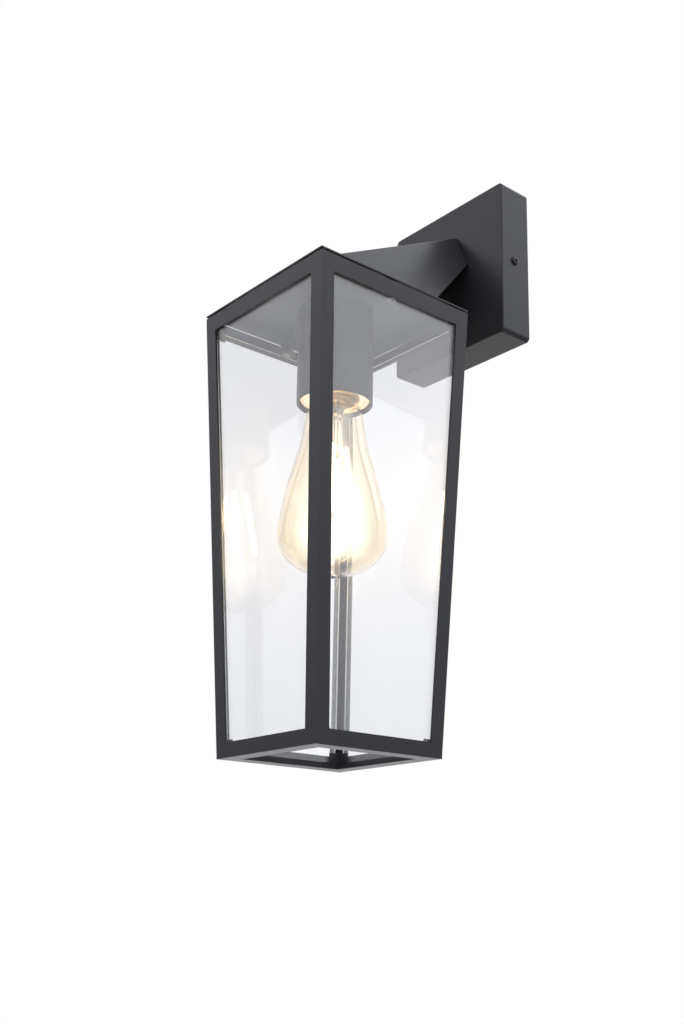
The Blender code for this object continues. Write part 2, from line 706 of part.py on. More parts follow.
def clip_mesh(low):
    """A corner clip: two wings behind the panes and a stem out to the post, at the front right."""
    near, far, reach, stem = CLIP_OUTER, CLIP_OUTER + CLIP_SHEET, CLIP_REACH, SHEET + GAP
    depths = [
        (stem, stem), (stem + CLIP_SHEET, stem), (far, near), (reach, near), (reach, far),
        (far, far), (far, reach), (near, reach), (near, far), (stem, stem + CLIP_SHEET),
    ]
    half = half_width_at(low)
    outline = [(half - u, v - half) for u, v in depths]
    mesh = plate_mesh([outline], 0.0, CLIP_HEIGHT)
    lean = Matrix.Identity(4)
    slope = (TOP_HALF - BOTTOM_HALF) / CAGE_HEIGHT
    lean[0][2], lean[1][2] = slope, -slope
    mesh.transform(Matrix.Translation((0.0, 0.0, low)) @ lean)
    return mesh


def make_cage():
    sides = (("front", 0.0), ("right", 90.0), ("rear", 180.0), ("left", 270.0))
    top_rails = {False: top_rail_mesh(False), True: top_rail_mesh(True)}
    bottom_rail = bottom_rail_mesh()
    pane = leaning_slab(PANE_FOOT, PANE_HEAD, PANE_OUTER, PANE_INNER, PANE_CORNER_SETBACK)
    for side, turn in sides:
        has_ear = side in ("right", "left")
        add_part(f"top_rail_{side}", top_rails[has_ear], "graphite_paint", LANTERN_FRAME, turn)
        add_part(f"bottom_rail_{side}", bottom_rail, "graphite_paint", LANTERN_FRAME, turn)
        add_part(f"glass_pane_{side}", pane, "clear_glass", LANTERN_FRAME, turn)

    corners = (("front_right", 0.0), ("rear_right", 90.0), ("rear_left", 180.0), ("front_left", 270.0))
    post = post_mesh()
    lower_clip = clip_mesh(CHANNEL_LIP_HEIGHT + GAP)
    upper_clip = clip_mesh(SHELF_UNDERSIDE - GAP - CLIP_HEIGHT)
    for corner, turn in corners:
        add_part(f"corner_post_{corner}", post, "graphite_paint", LANTERN_FRAME, turn)
        add_part(f"lower_clip_{corner}", lower_clip, "black_screw", LANTERN_FRAME, turn)
        add_part(f"upper_clip_{corner}", upper_clip, "black_screw", LANTERN_FRAME, turn)

    screw = screw_mesh(
        CAGE_SCREW_HEAD_RADIUS, SCREW_HEAD_HEIGHT, SCREW_RADIUS, BOSS_SCREW_LENGTH
    )
    screw.transform(Matrix.Rotation(math.pi, 4, "X"))
    offset = half_width_at(SHELF_UNDERSIDE) - EAR_SCREW_INSET
    for name, side in (("cage_screw_right", 1), ("cage_screw_left", -1)):
        add_part(
            name, screw, "zinc_plate", LANTERN_FRAME,
            location=(side * offset, 0.0, SHELF_UNDERSIDE - GAP),
        )


def make_lid():
    plate = block_mesh((-TOP_HALF, -TOP_HALF, LID_UNDERSIDE), (TOP_HALF, TOP_HALF, CAGE_HEIGHT))
    offset = half_width_at(SHELF_UNDERSIDE) - EAR_SCREW_INSET
    bosses, holes = [], []
    for side in (-1, 1):
        place = Matrix.Translation((side * offset, 0.0, 0.0))
        boss = cylinder_mesh(BOSS_RADIUS, SHELF_TOP + GAP, LID_UNDERSIDE + SHEET / 2, SMALL_STEPS)
        bosses.append(moved(boss, place))
        hole = cylinder_mesh(
            SCREW_RADIUS + HOLE_CLEARANCE, SHELF_TOP - CUT_MARGIN, CAGE_HEIGHT - SHEET / 2, SMALL_STEPS
        )
        holes.append(moved(hole, place))
    holes.append(cylinder_mesh(
        NIPPLE_RADIUS + HOLE_CLEARANCE, LID_UNDERSIDE - CUT_MARGIN, CAGE_HEIGHT + CUT_MARGIN
    ))
    add_part("lid", combined(plate, added=bosses, cut=holes), "graphite_paint", LANTERN_FRAME)


# Lamp holder and wiring


def make_lamp_holder():
    inner = CUP_RADIUS - SHEET
    hole = NIPPLE_RADIUS + HOLE_CLEARANCE
    cup = turned_mesh([
        (hole, CUP_HEAD), (CUP_RADIUS, CUP_HEAD),
        (CUP_RADIUS, CUP_FOOT + CUP_EDGE_RADIUS),
        (CUP_RADIUS - CUP_EDGE_RADIUS * 0.3, CUP_FOOT + CUP_EDGE_RADIUS * 0.3),
        (CUP_RADIUS - SHEET, CUP_FOOT),
        (inner, CUP_HEAD - SHEET), (hole, CUP_HEAD - SHEET),
    ])
    add_part("socket_cup", cup, "graphite_paint", LANTERN_FRAME, round_shape=True)

    slot_half = LEAD_SPACING + LEAD_RADIUS + HOLE_CLEARANCE
    body = turned_mesh([
        (0.0, HOLDER_HEAD), (HOLDER_RADIUS - CUP_EDGE_RADIUS, HOLDER_HEAD),
        (HOLDER_RADIUS, HOLDER_HEAD - CUP_EDGE_RADIUS),
        (HOLDER_RADIUS, HOLDER_FOOT + CUP_EDGE_RADIUS),
        (HOLDER_RADIUS - CUP_EDGE_RADIUS, HOLDER_FOOT),
        (SOCKET_BORE_RADIUS + CUP_EDGE_RADIUS, HOLDER_FOOT),
        (SOCKET_BORE_RADIUS, HOLDER_FOOT + CUP_EDGE_RADIUS),
        (SOCKET_BORE_RADIUS, SOCKET_CEILING), (0.0, SOCKET_CEILING),
    ])
    lead_slot = block_mesh(
        (-slot_half, -LEAD_RADIUS - HOLE_CLEARANCE, SOCKET_CEILING - CUT_MARGIN),
        (slot_half, LEAD_RADIUS + HOLE_CLEARANCE, HOLDER_HEAD + CUT_MARGIN),
    )
    add_part(
        "socket_body", combined(body, cut=[lead_slot]), "holder_cream", LANTERN_FRAME,
        round_shape=True,
    )

    outer = SOCKET_BORE_RADIUS - GAP
    lining = outer - SCREW_SHELL_SHEET
    shell_head = TONGUE_UNDERSIDE - GAP
    shell = turned_mesh([
        (outer, shell_head), (outer, HOLDER_FOOT + GAP), (lining, HOLDER_FOOT + GAP),
        (lining, shell_head),
    ])
    add_part("socket_screw_shell", shell, "socket_brass", LANTERN_FRAME, round_shape=True)

    tongue_half = SOCKET_BORE_RADIUS * 0.6
    tongue = block_mesh(
        (-TONGUE_WIDTH / 2, -tongue_half, TONGUE_UNDERSIDE),
        (TONGUE_WIDTH / 2, tongue_half, TONGUE_UNDERSIDE + TONGUE_SHEET),
    )
    add_part("centre_contact_tongue", tongue, "socket_brass", LANTERN_FRAME)

    hub_foot = HOLDER_HEAD + GAP
    hub = turned_mesh([
        (NIPPLE_RADIUS + GAP, hub_foot + HUB_LENGTH), (NIPPLE_RADIUS * 1.5, hub_foot + HUB_LENGTH),
        (NIPPLE_RADIUS * 1.5, hub_foot + SHEET), (HUB_RADIUS, hub_foot + SHEET),
        (HUB_RADIUS, hub_foot), (NIPPLE_RADIUS + GAP, hub_foot),
    ])
    add_part("socket_hub", hub, "zinc_plate", LANTERN_FRAME, round_shape=True)

    nipple_foot = hub_foot + SHEET
    nipple = turned_mesh([
        (NIPPLE_RADIUS, nipple_foot + NIPPLE_LENGTH), (NIPPLE_RADIUS, nipple_foot),
        (NIPPLE_BORE_RADIUS, nipple_foot), (NIPPLE_BORE_RADIUS, nipple_foot + NIPPLE_LENGTH),
    ])
    add_part("threaded_nipple", nipple, "zinc_plate", LANTERN_FRAME, round_shape=True)

    corner_radius = LOCKNUT_ACROSS_FLATS / 2 / math.cos(math.radians(30.0))
    hexagon = arc((0.0, 0.0), corner_radius, 0, 300, 5)
    bore = arc((0.0, 0.0), NIPPLE_RADIUS + GAP, 0, 360 - 360 / SMALL_STEPS, SMALL_STEPS - 1)
    nut_foot = BRIDGE_TOP + GAP
    locknut = plate_mesh([hexagon, bore], nut_foot, nut_foot + LOCKNUT_THICKNESS)
    add_part("nipple_locknut", locknut, "zinc_plate", LANTERN_FRAME)


def smooth_route(points, steps=5):
    """Points on a Catmull-Rom curve through a few chosen ones."""
    knots = [Vector(points[0])] + [Vector(p) for p in points] + [Vector(points[-1])]
    route = []
    for before, start, end, after in zip(knots, knots[1:], knots[2:], knots[3:]):
        for step in range(steps):
            t = step / steps
            route.append(0.5 * (
                2 * start + (end - before) * t + (2 * before - 5 * start + 4 * end - after) * t ** 2
                + (3 * start - before - 3 * end + after) * t ** 3
            ))
    return route + [knots[-1]]


def neck_middle(share):
    """Depth and height half way between the neck's roof and its belly or the lid, at a share of
    the way from the lantern's axis to the box."""
    lid_top, end_y = -LID_BELOW_BOX_CENTRE, -BOX_DEPTH - GAP
    front_y, rear_y = -AXIS_FROM_WALL - NECK_FRONT_REACH, -AXIS_FROM_WALL + NECK_REAR_REACH
    y = -AXIS_FROM_WALL + share * (end_y + AXIS_FROM_WALL)
    roof = lid_top + (NECK_HEAD_HEIGHT - lid_top) * (y - front_y) / (end_y - front_y)
    belly = lid_top + (NECK_FOOT_HEIGHT - lid_top) * max(0.0, y - rear_y) / (end_y - rear_y)
    return y, (roof + belly) / 2


def add_lead(name, points, radius, finish):
    curve = bpy.data.curves.new(name, "CURVE")
    curve.dimensions = "3D"
    curve.bevel_depth = radius
    curve.bevel_resolution = WIRE_STEPS - 1
    curve.use_fill_caps = True
    spline_points(curve, [tuple(point) for point in smooth_route(points)], False)
    lead = bpy.data.objects.new(name, curve)
    LANTERN.objects.link(lead)
    mesh = mesh_and_remove(lead)
    add_part(name, mesh, finish, WALL_FRAME, round_shape=True)


def make_wiring():
    """Two supply leads from the lamp holder through nipple, neck and box front, and the earth."""
    axis_y = -AXIS_FROM_WALL
    foot = LANTERN_FOOT.z
    box_inside = -BOX_DEPTH + SHEET
    nipple_head = foot + HOLDER_HEAD + GAP + SHEET + NIPPLE_LENGTH
    for name, side, finish in (("live_lead", 1, "black_lead"), ("neutral_lead", -1, "white_lead")):
        x = side * LEAD_SPACING
        route = [
            (x, axis_y, foot + SOCKET_CEILING + GAP * 3), (x, axis_y, foot + HOLDER_HEAD),
            (x, axis_y, foot + CUP_HEAD), (x, axis_y, nipple_head),
            (x, *neck_middle(0.25)), (x, *neck_middle(0.55)), (x, *neck_middle(0.80)),
            (x, box_inside - 0.004, WIRE_HOLE_HEIGHT), (x, box_inside, WIRE_HOLE_HEIGHT),
            (x + side * 0.004, box_inside + 0.006, WIRE_HOLE_HEIGHT + 0.004),
            (x + side * 0.012, box_inside + 0.010, WIRE_HOLE_HEIGHT + 0.012),
            (x + side * 0.022, box_inside + 0.010, WIRE_HOLE_HEIGHT + 0.016),
        ]
        add_lead(name, route, LEAD_RADIUS, finish)
    earth_y = -BRACKET_SHEET - SCREW_HEAD_HEIGHT - GAP * 3 - LEAD_RADIUS
    neck_y = box_inside + SCREW_HEAD_HEIGHT + GAP * 3 + LEAD_RADIUS
    route = [
        (GROUND_SCREW_OFFSET, earth_y, 0.0), (GROUND_SCREW_OFFSET, earth_y, -0.012),
        (0.004, (earth_y + neck_y) / 2, -0.024), (-0.014, neck_y, -0.014),
        (-NECK_SCREW_OFFSET, neck_y, 0.000), (-NECK_SCREW_OFFSET, neck_y, NECK_SCREW_HEIGHT),
    ]
    add_lead("earth_wire", route, LEAD_RADIUS * 0.8, "earth_copper")


# Bulb


def envelope_outline():
    """Radius and height of the bulb's glass, from its mouth down to its tip."""
    widest = BULB_TIP + BULB_WIDEST_ABOVE_TIP
    mouth = CAP_FOOT + CAP_SHEET * 4
    fall = mouth - widest
    shoulder = [
        (BULB_MOUTH_RADIUS, mouth),
        (BULB_MOUTH_RADIUS * 1.02, mouth - fall * 0.05),
        (BULB_MOUTH_RADIUS * 1.16, mouth - fall * 0.10),
        (BULB_MOUTH_RADIUS * 1.34, mouth - fall * 0.17),
        (BULB_MOUTH_RADIUS * 1.46, mouth - fall * 0.27),
        (BULB_RADIUS * 0.665, mouth - fall * 0.42),
        (BULB_RADIUS * 0.800, mouth - fall * 0.60),
        (BULB_RADIUS * 0.925, mouth - fall * 0.79),
        (BULB_RADIUS * 0.985, mouth - fall * 0.92),
    ]
    dome = []
    depth = BULB_WIDEST_ABOVE_TIP - BULB_TIP_NUB
    for step in range(12):
        angle = math.radians(90 * step / 12)
        dome.append((BULB_RADIUS * math.cos(angle) ** 1.08, widest - depth * math.sin(angle)))
    return shoulder + dome


def make_bulb():
    outline = envelope_outline()
    nub = [
        (BULB_TIP_NUB * 1.6, BULB_TIP + BULB_TIP_NUB * 0.9), (BULB_TIP_NUB, BULB_TIP + BULB_TIP_NUB * 0.3),
        (0.0, BULB_TIP),
    ]
    outer = [point for point in outline if point[0] > nub[0][0]] + nub
    inner = [(radius - BULB_GLASS, height + BULB_GLASS * 0.4) for radius, height in outline]
    inner = [point for point in inner if point[0] > BULB_TIP_NUB]
    inner = [(0.0, BULB_TIP + BULB_TIP_NUB + BULB_GLASS)] + list(reversed(inner))
    inner[-1] = (inner[-1][0], outline[0][1])
    envelope = turned_mesh(inner + outer)
    add_part("bulb_glass", envelope, "amber_glass", BULB_FRAME, round_shape=True)

    lining = CAP_RADIUS - CAP_SHEET
    cap = turned_mesh([
        (CAP_CONTACT_RADIUS, CAP_HEAD), (CAP_RADIUS - CAP_SHEET * 4, CAP_HEAD),
        (CAP_RADIUS, CAP_HEAD - CAP_SHEET * 4), (CAP_RADIUS, CAP_FOOT), (lining, CAP_FOOT),
        (lining, CAP_HEAD - CAP_SHEET * 5), (CAP_RADIUS - CAP_SHEET * 5, CAP_HEAD - CAP_SHEET),
        (CAP_CONTACT_RADIUS, CAP_HEAD - CAP_SHEET),
    ])
    add_part("bulb_cap_shell", cap, "cap_brass", BULB_FRAME, round_shape=True)

    insulator_foot = CAP_HEAD + GAP
    insulator_head = insulator_foot + CAP_INSULATOR_HEIGHT
    insulator = turned_mesh([
        (0.0, insulator_head), (CAP_CONTACT_RADIUS, insulator_head),
        (CAP_CONTACT_RADIUS * 1.9, insulator_foot), (0.0, insulator_foot),
    ])
    add_part("bulb_cap_insulator", insulator, "insulator_black", BULB_FRAME, round_shape=True)

    contact_foot = insulator_head + GAP
    contact = turned_mesh([
        (0.0, BULB_HEAD), (CAP_CONTACT_RADIUS * 0.6, BULB_HEAD - CAP_CONTACT_HEIGHT * 0.15),
        (CAP_CONTACT_RADIUS * 0.95, contact_foot), (0.0, contact_foot),
    ], SMALL_STEPS)
    add_part("bulb_centre_contact", contact, "cap_brass", BULB_FRAME, round_shape=True)

    stem_head = CAP_FOOT + CAP_SHEET * 2
    stem_foot = stem_head - STEM_LENGTH
    flare = BULB_MOUTH_RADIUS - BULB_GLASS - GAP
    stem = turned_mesh([
        (0.0, stem_head), (flare, stem_head), (flare, stem_head - 0.0010),
        (flare * 0.45, stem_head - 0.0070), (flare * 0.33, stem_head - 0.0140),
        (flare * 0.33, stem_foot + 0.0060), (flare * 0.24, stem_foot + 0.0015), (0.0, stem_foot),
    ])
    add_part("bulb_stem", stem, "stem_glass", BULB_FRAME, round_shape=True)

    filament_head = stem_foot + 0.0080
    for index in range(FILAMENT_COUNT):
        angle = math.radians(45 + 360 * index / FILAMENT_COUNT)
        top = Vector((math.cos(angle), math.sin(angle), 0.0)) * FILAMENT_TOP_RADIUS
        foot = Vector((math.cos(angle), math.sin(angle), 0.0)) * FILAMENT_FOOT_RADIUS
        top.z, foot.z = filament_head, filament_head - FILAMENT_LENGTH
        rod = cylinder_mesh(FILAMENT_RADIUS, 0.0, (top - foot).length, SMALL_STEPS // 2)
        lean = (top - foot).to_track_quat("Z", "Y").to_matrix().to_4x4()
        rod.transform(Matrix.Translation(foot) @ lean)
        add_part(f"filament_{index + 1}", rod, "filament_glow", BULB_FRAME, round_shape=True)


make_bracket()
make_wall_box()
make_neck()
make_lid()
make_cage()
make_lamp_holder()
make_wiring()
make_bulb()
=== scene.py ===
"""Outdoor wall lantern: its painted sheet-metal cage, glass, lamp holder and filament bulb.

Metres, +Z up, the wall at y = 0 and the lantern out along -Y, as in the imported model.
"""
import math
from contextlib import contextmanager

import bmesh
import bpy
from bpy.props import FloatProperty, FloatVectorProperty, IntProperty, PointerProperty
from mathutils import Matrix, Vector


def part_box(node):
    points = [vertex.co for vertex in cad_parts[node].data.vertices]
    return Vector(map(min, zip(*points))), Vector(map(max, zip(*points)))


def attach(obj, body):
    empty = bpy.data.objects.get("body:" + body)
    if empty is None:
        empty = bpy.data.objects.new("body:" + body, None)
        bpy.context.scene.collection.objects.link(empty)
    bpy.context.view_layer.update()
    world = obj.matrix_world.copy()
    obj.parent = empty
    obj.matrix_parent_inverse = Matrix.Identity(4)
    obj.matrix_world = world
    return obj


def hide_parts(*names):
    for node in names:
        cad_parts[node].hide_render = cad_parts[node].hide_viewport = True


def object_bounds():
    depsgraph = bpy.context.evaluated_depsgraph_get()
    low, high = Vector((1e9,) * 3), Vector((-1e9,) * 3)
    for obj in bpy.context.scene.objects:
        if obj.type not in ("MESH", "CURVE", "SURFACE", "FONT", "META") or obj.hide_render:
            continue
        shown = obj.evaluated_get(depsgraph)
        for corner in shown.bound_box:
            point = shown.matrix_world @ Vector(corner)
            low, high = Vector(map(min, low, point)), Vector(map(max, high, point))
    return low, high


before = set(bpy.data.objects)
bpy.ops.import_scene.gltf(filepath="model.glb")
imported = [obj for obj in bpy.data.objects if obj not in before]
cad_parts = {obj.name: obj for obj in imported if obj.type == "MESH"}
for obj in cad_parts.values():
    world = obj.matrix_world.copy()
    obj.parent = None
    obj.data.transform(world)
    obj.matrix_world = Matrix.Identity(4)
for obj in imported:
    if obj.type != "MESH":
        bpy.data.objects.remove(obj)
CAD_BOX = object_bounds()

bl_info = {
    "name": "Outdoor Wall Lantern",
    "version": (1, 0, 0),
    "blender": (4, 5, 0),
    "location": "View3D > Sidebar > Lantern",
    "description": "Builds a tapered glass wall lantern piece by piece",
    "category": "Add Mesh",
}

X, Y, Z = range(3)
GAP = 0.0003  # left between pieces that don't touch
CUT_MARGIN = 0.002  # how far a tool stands out of what it cuts
SAME_PLACE = 0.00001  # points closer than this are merged
SCREW_HOLE = 0.0022  # radius of a plain hole for a screw
SURFACE = ("Colour", "Roughness", "Height")  # what most of the shared effects put out
SIDES = ("front", "right", "rear", "left")
CORNERS = ("front_right", "rear_right", "rear_left", "front_left")


# Places read from the frame


def points_at(node, axis, value, within=0.00005):
    """The corners of a CAD node that lie on one level along an axis."""
    return [v.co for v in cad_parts[node].data.vertices if abs(v.co[axis] - value) < within]


def mid(box, axis):
    """Half way between a box's two corners, along an axis."""
    return (box[0][axis] + box[1][axis]) / 2


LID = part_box("lid")
AXIS = Vector((0.0, mid(LID, Y), 0.0))
CENTRE = (AXIS.x, AXIS.y)
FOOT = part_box("corner_post_front_right")[0].z
LID_TOP = LID[1].z
TOP_HALF = LID[1].x
BOTTOM_HALF = max(p.x for p in points_at("corner_post_front_right", Z, FOOT))
SLOPE = (TOP_HALF - BOTTOM_HALF) / (LID_TOP - FOOT)
RAIL_FOOT, RAIL_TOP = (corner.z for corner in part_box("top_rail_front"))
BOTTOM_RAIL_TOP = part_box("bottom_rail_front")[1].z
SHELF_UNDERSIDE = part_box("upper_clip_front_right")[1].z + GAP
LIP_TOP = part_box("lower_clip_front_right")[0].z - GAP
EAR_SCREW_X = mid(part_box("cage_screw_right"), X)
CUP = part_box("socket_cup")
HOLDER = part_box("socket_body")
SCREW_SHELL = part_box("socket_screw_shell")
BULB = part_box("bulb_glass")
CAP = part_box("bulb_cap_shell")
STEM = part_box("bulb_stem")
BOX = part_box("wall_box")
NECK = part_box("neck")
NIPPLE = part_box("threaded_nipple")
NIPPLE_RADIUS = (NIPPLE[1].x - NIPPLE[0].x) / 2
SIDE_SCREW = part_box("side_screw_right")
NECK_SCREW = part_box("neck_screw_right")
NECK_SCREW_X, NECK_SCREW_Z = mid(NECK_SCREW, X), mid(NECK_SCREW, Z)


def half_at(height):
    """Half the cage's outer width at a height."""
    return BOTTOM_HALF + SLOPE * (height - FOOT)


# Properties


def metres(name, description, default):
    return FloatProperty(
        name=name, description=description, default=default, min=0.0, unit="LENGTH", precision=5
    )


def colour(name, description, default):
    return FloatVectorProperty(
        name=name, description=description, default=default, min=0.0, max=1.0, size=3,
        subtype="COLOR",
    )


class LanternSizes(bpy.types.PropertyGroup):
    """Sizes of the visible pieces."""
    sheet: metres("Sheet", "Thickness of the folded sheet metal", 0.0012)
    edge_radius: metres("Edge radius", "Rounding that paint leaves on sheet edges", 0.00035)
    post_width: metres("Post width", "Width of the cage's corner posts", 0.0091)
    flange_depth: metres("Flange depth", "Depth of the flange under the cage", 0.0105)
    lip_depth: metres("Lip depth", "From the cage's face to the glazing lip", 0.0038)
    lip_sheet: metres("Lip sheet", "Thickness of the glazing lip", 0.0010)
    shelf_depth: metres("Shelf depth", "Depth of the shelf behind the top rails", 0.0035)
    ear_radius: metres("Ear radius", "Radius of the half-round screw ears", 0.0083)
    ear_notch: metres("Ear notch", "Width of the relief notches beside an ear", 0.0015)
    box_corner: metres("Box corner", "Radius of the wall box's depth-wise edges", 0.0028)
    box_edge: metres("Box edge", "Radius of the wall box's front edges", 0.0007)
    neck_edge: metres("Neck edge", "Radius of the neck's folded edges", 0.0007)
    glass_edge: metres("Glass edge", "Chamfer on the panes' ground edges", 0.0003)
    cup_edge: metres("Cup edge", "Radius of the socket cup's lower edge", 0.0011)
    thread_pitch: metres("Thread pitch", "Pitch of the bulb's screw thread", 0.003629)
    bulb_wall: metres("Bulb wall", "Thickness of the bulb's glass", 0.0007)
    filament_radius: metres("Filament radius", "Radius of each glowing filament", 0.0011)
    wire_radius: metres("Wire radius", "Radius of the wires inside the bulb", 0.00032)
    turn_steps: IntProperty(
        name="Turn steps", description="Faces round a turned piece", default=72, min=12, max=256
    )


class LanternColours(bpy.types.PropertyGroup):
    """Colours and light."""
    paint: colour("Paint", "Graphite powder coat", (0.0145, 0.0145, 0.0175))
    zinc: colour("Zinc", "Dull zinc plate", (0.36, 0.36, 0.37))
    oxide: colour("Black oxide", "Blackened screws and clips", (0.02, 0.02, 0.023))
    glass: colour("Glass", "Clear float glass", (0.885, 0.89, 0.905))
    holder: colour("Holder", "Cream lamp holder moulding", (0.93, 0.89, 0.78))
    brass: colour("Brass", "Socket shell and bulb cap", (0.92, 0.75, 0.44))
    amber: colour("Amber", "Tint of the bulb's glass", (0.98, 0.905, 0.76))
    glow: colour("Glow", "Colour of the filaments' light", (1.0, 0.86, 0.64))
    glow_strength: FloatProperty(
        name="Glow strength", description="Brightness of the filaments", default=110.0, min=0.0
    )
    haze: FloatProperty(
        name="Haze", description="Share of light that the film on each pane face scatters",
        default=0.03, min=0.0, max=1.0,
    )
    floor: colour("Floor", "Pale studio floor", (0.40, 0.40, 0.40))


# Modelling by hand


def clear_selection():
    bpy.ops.object.select_all(action="DESELECT")


def pick_object(piece):
    clear_selection()
    bpy.context.view_layer.objects.active = piece
    piece.select_set(True)


@contextmanager
def editing(piece):
    """Edit mode on one piece, with everything selected at first."""
    pick_object(piece)
    bpy.ops.object.mode_set(mode="EDIT")
    bpy.ops.mesh.select_mode(type="VERT")
    bpy.ops.mesh.select_all(action="SELECT")
    yield
    bpy.ops.object.mode_set(mode="OBJECT")


def pick(piece, kind, test):
    """In edit mode, selects the verts, edges or faces that pass a test, and nothing else."""
    bpy.ops.mesh.select_mode(type={"verts": "VERT", "edges": "EDGE", "faces": "FACE"}[kind])
    bpy.ops.mesh.select_all(action="DESELECT")
    mesh = bmesh.from_edit_mesh(piece.data)
    mesh.normal_update()
    for item in getattr(mesh, kind):
        item.select_set(test(item))
    bmesh.update_edit_mesh(piece.data)


def named(name):
    piece = bpy.context.active_object
    piece.name = name
    piece.data.name = name
    return piece


def block(name, low, high):
    """A cube added between two opposite corners."""
    low, high = Vector(low), Vector(high)
    clear_selection()
    bpy.ops.mesh.primitive_cube_add(size=1.0, location=(low + high) / 2)
    piece = named(name)
    piece.scale = high - low
    bpy.ops.object.transform_apply(location=True, rotation=True, scale=True)
    return piece


def stood(place, way):
    """Where a piece drawn about +Z goes, to have its origin at a place and point some way."""
    return Matrix.Translation(place) @ way.to_track_quat("Z", "Y").to_matrix().to_4x4()


def rod(axis, radius, place, start, end, steps=32):
    """A cylinder along one axis and through a place, between two levels."""
    ends = [Vector(place), Vector(place)]
    ends[0][axis], ends[1][axis] = start, end
    along = ends[1] - ends[0]
    clear_selection()
    bpy.ops.mesh.primitive_cylinder_add(vertices=steps, radius=radius, depth=along.length)
    piece = named("rod")
    piece.matrix_world = stood((ends[0] + ends[1]) / 2, along)
    bpy.ops.object.transform_apply(location=True, rotation=True, scale=True)
    return piece


def apply_modifier(piece, kind, **settings):
    modifier = piece.modifiers.new(kind.lower(), kind)
    for field, value in settings.items():
        setattr(modifier, field, value)
    pick_object(piece)
    bpy.ops.object.modifier_apply(modifier=modifier.name)


def combine(piece, operation, *tools):
    """Joins tools to a piece, or cuts them from it, and removes them."""
    for tool in tools:
        apply_modifier(piece, "BOOLEAN", operation=operation, solver="EXACT", object=tool)
        bpy.data.objects.remove(tool, do_unlink=True)


def thicken(piece, thickness):
    """Gives an open skin its wall, on the inner side."""
    apply_modifier(piece, "SOLIDIFY", thickness=thickness, offset=-1.0, use_even_offset=True)


def smooth(piece, angle):
    pick_object(piece)
    bpy.ops.object.shade_smooth_by_angle(angle=math.radians(angle))


def smooth_bends(piece, angle=32.0):
    """Smooth shading on what is rounded, while the flats stay flat."""
    smooth(piece, angle)
    apply_modifier(piece, "WEIGHTED_NORMAL", keep_sharp=True, weight=100)


def ease_edges(piece, width, segments=2):
    """Rounds the sharp edges and keeps the flats flat."""
    apply_modifier(
        piece, "BEVEL", width=width, segments=segments, limit_method="ANGLE",
        angle_limit=math.radians(35.0), use_clamp_overlap=True,
    )
    smooth_bends(piece, 40.0)


def profile_line(name, points, centre, closed=False):
    """A line of edges through (radius, height) points, drawn beside an upright axis."""
    clear_selection()
    bpy.ops.mesh.primitive_plane_add(size=0.001, location=(*centre, 0.0))
    piece = named(name)
    with editing(piece):
        bpy.ops.mesh.merge(type="CENTER")
        bpy.ops.mesh.select_all(action="SELECT")
        bpy.ops.transform.translate(value=(points[0][0], 0.0, points[0][1]))
        for (radius, height), (next_radius, next_height) in zip(points, points[1:]):
            step = (next_radius - radius, 0.0, next_height - height)
            bpy.ops.mesh.extrude_region_move(TRANSFORM_OT_translate={"value": step})
        if closed:
            pick(piece, "verts", lambda v: len(v.link_edges) == 1)
            bpy.ops.mesh.edge_face_add()
    return piece


def turned(name, points, centre=CENTRE, closed=False, steps=None, crease=35.0):
    """A profile of (radius, height) points spun round an upright axis."""
    steps = steps or bpy.context.scene.lantern_sizes.turn_steps
    piece = profile_line(name, points, centre, closed)
    with editing(piece):
        bpy.ops.mesh.spin(steps=steps, angle=2 * math.pi, center=(*centre, 0.0), axis=(0, 0, 1))
        bpy.ops.mesh.select_all(action="SELECT")
        bpy.ops.mesh.remove_doubles(threshold=SAME_PLACE)
        bpy.ops.mesh.normals_make_consistent(inside=False)
    smooth(piece, crease)
    return piece


def rolled_thread(name, radius, depth, pitch, low, high, wall):
    """A tube with a rolled helical thread between two heights, about the lantern's axis."""
    waves, round_steps = 8, 48
    turns = math.ceil((high - low) / pitch) + 2
    points = []
    for step in range(waves + 1):
        dip = depth * (0.5 - 0.5 * math.cos(2 * math.pi * step / waves))
        points.append((radius - dip, low - pitch + pitch * step / waves))
    piece = profile_line(name, points, CENTRE)
    apply_modifier(
        piece, "SCREW", axis="Z", steps=round_steps, render_steps=round_steps,
        screw_offset=pitch, iterations=turns, use_merge_vertices=True, merge_threshold=SAME_PLACE,
    )
    with editing(piece):
        bpy.ops.mesh.normals_make_consistent(inside=False)
        for height, upper in ((low, False), (high, True)):
            bpy.ops.mesh.select_all(action="SELECT")
            bpy.ops.mesh.bisect(
                plane_co=(0, 0, height), plane_no=(0, 0, 1), clear_inner=not upper,
                clear_outer=upper,
            )
    outermost = max(piece.data.polygons, key=lambda face: face.center.x)
    if outermost.normal.x < 0:
        with editing(piece):
            bpy.ops.mesh.flip_normals()
    thicken(piece, wall)
    smooth(piece, 50.0)
    return piece


def rounded(points, index, radius, steps=4):
    """A profile with one corner replaced by a curve that touches both of its sides."""
    corner = Vector(points[index])
    before = (Vector(points[index - 1]) - corner).normalized()
    after = (Vector(points[(index + 1) % len(points)]) - corner).normalized()
    bend = before.angle(after)
    reach = radius / math.tan(bend / 2)
    arc = []
    for step in range(steps + 1):
        share = step / steps
        start, end = corner + before * reach, corner + after * reach
        arc.append(start.lerp(corner, share).lerp(corner.lerp(end, share), share).to_tuple())
    return points[:index] + arc + points[index + 1:]


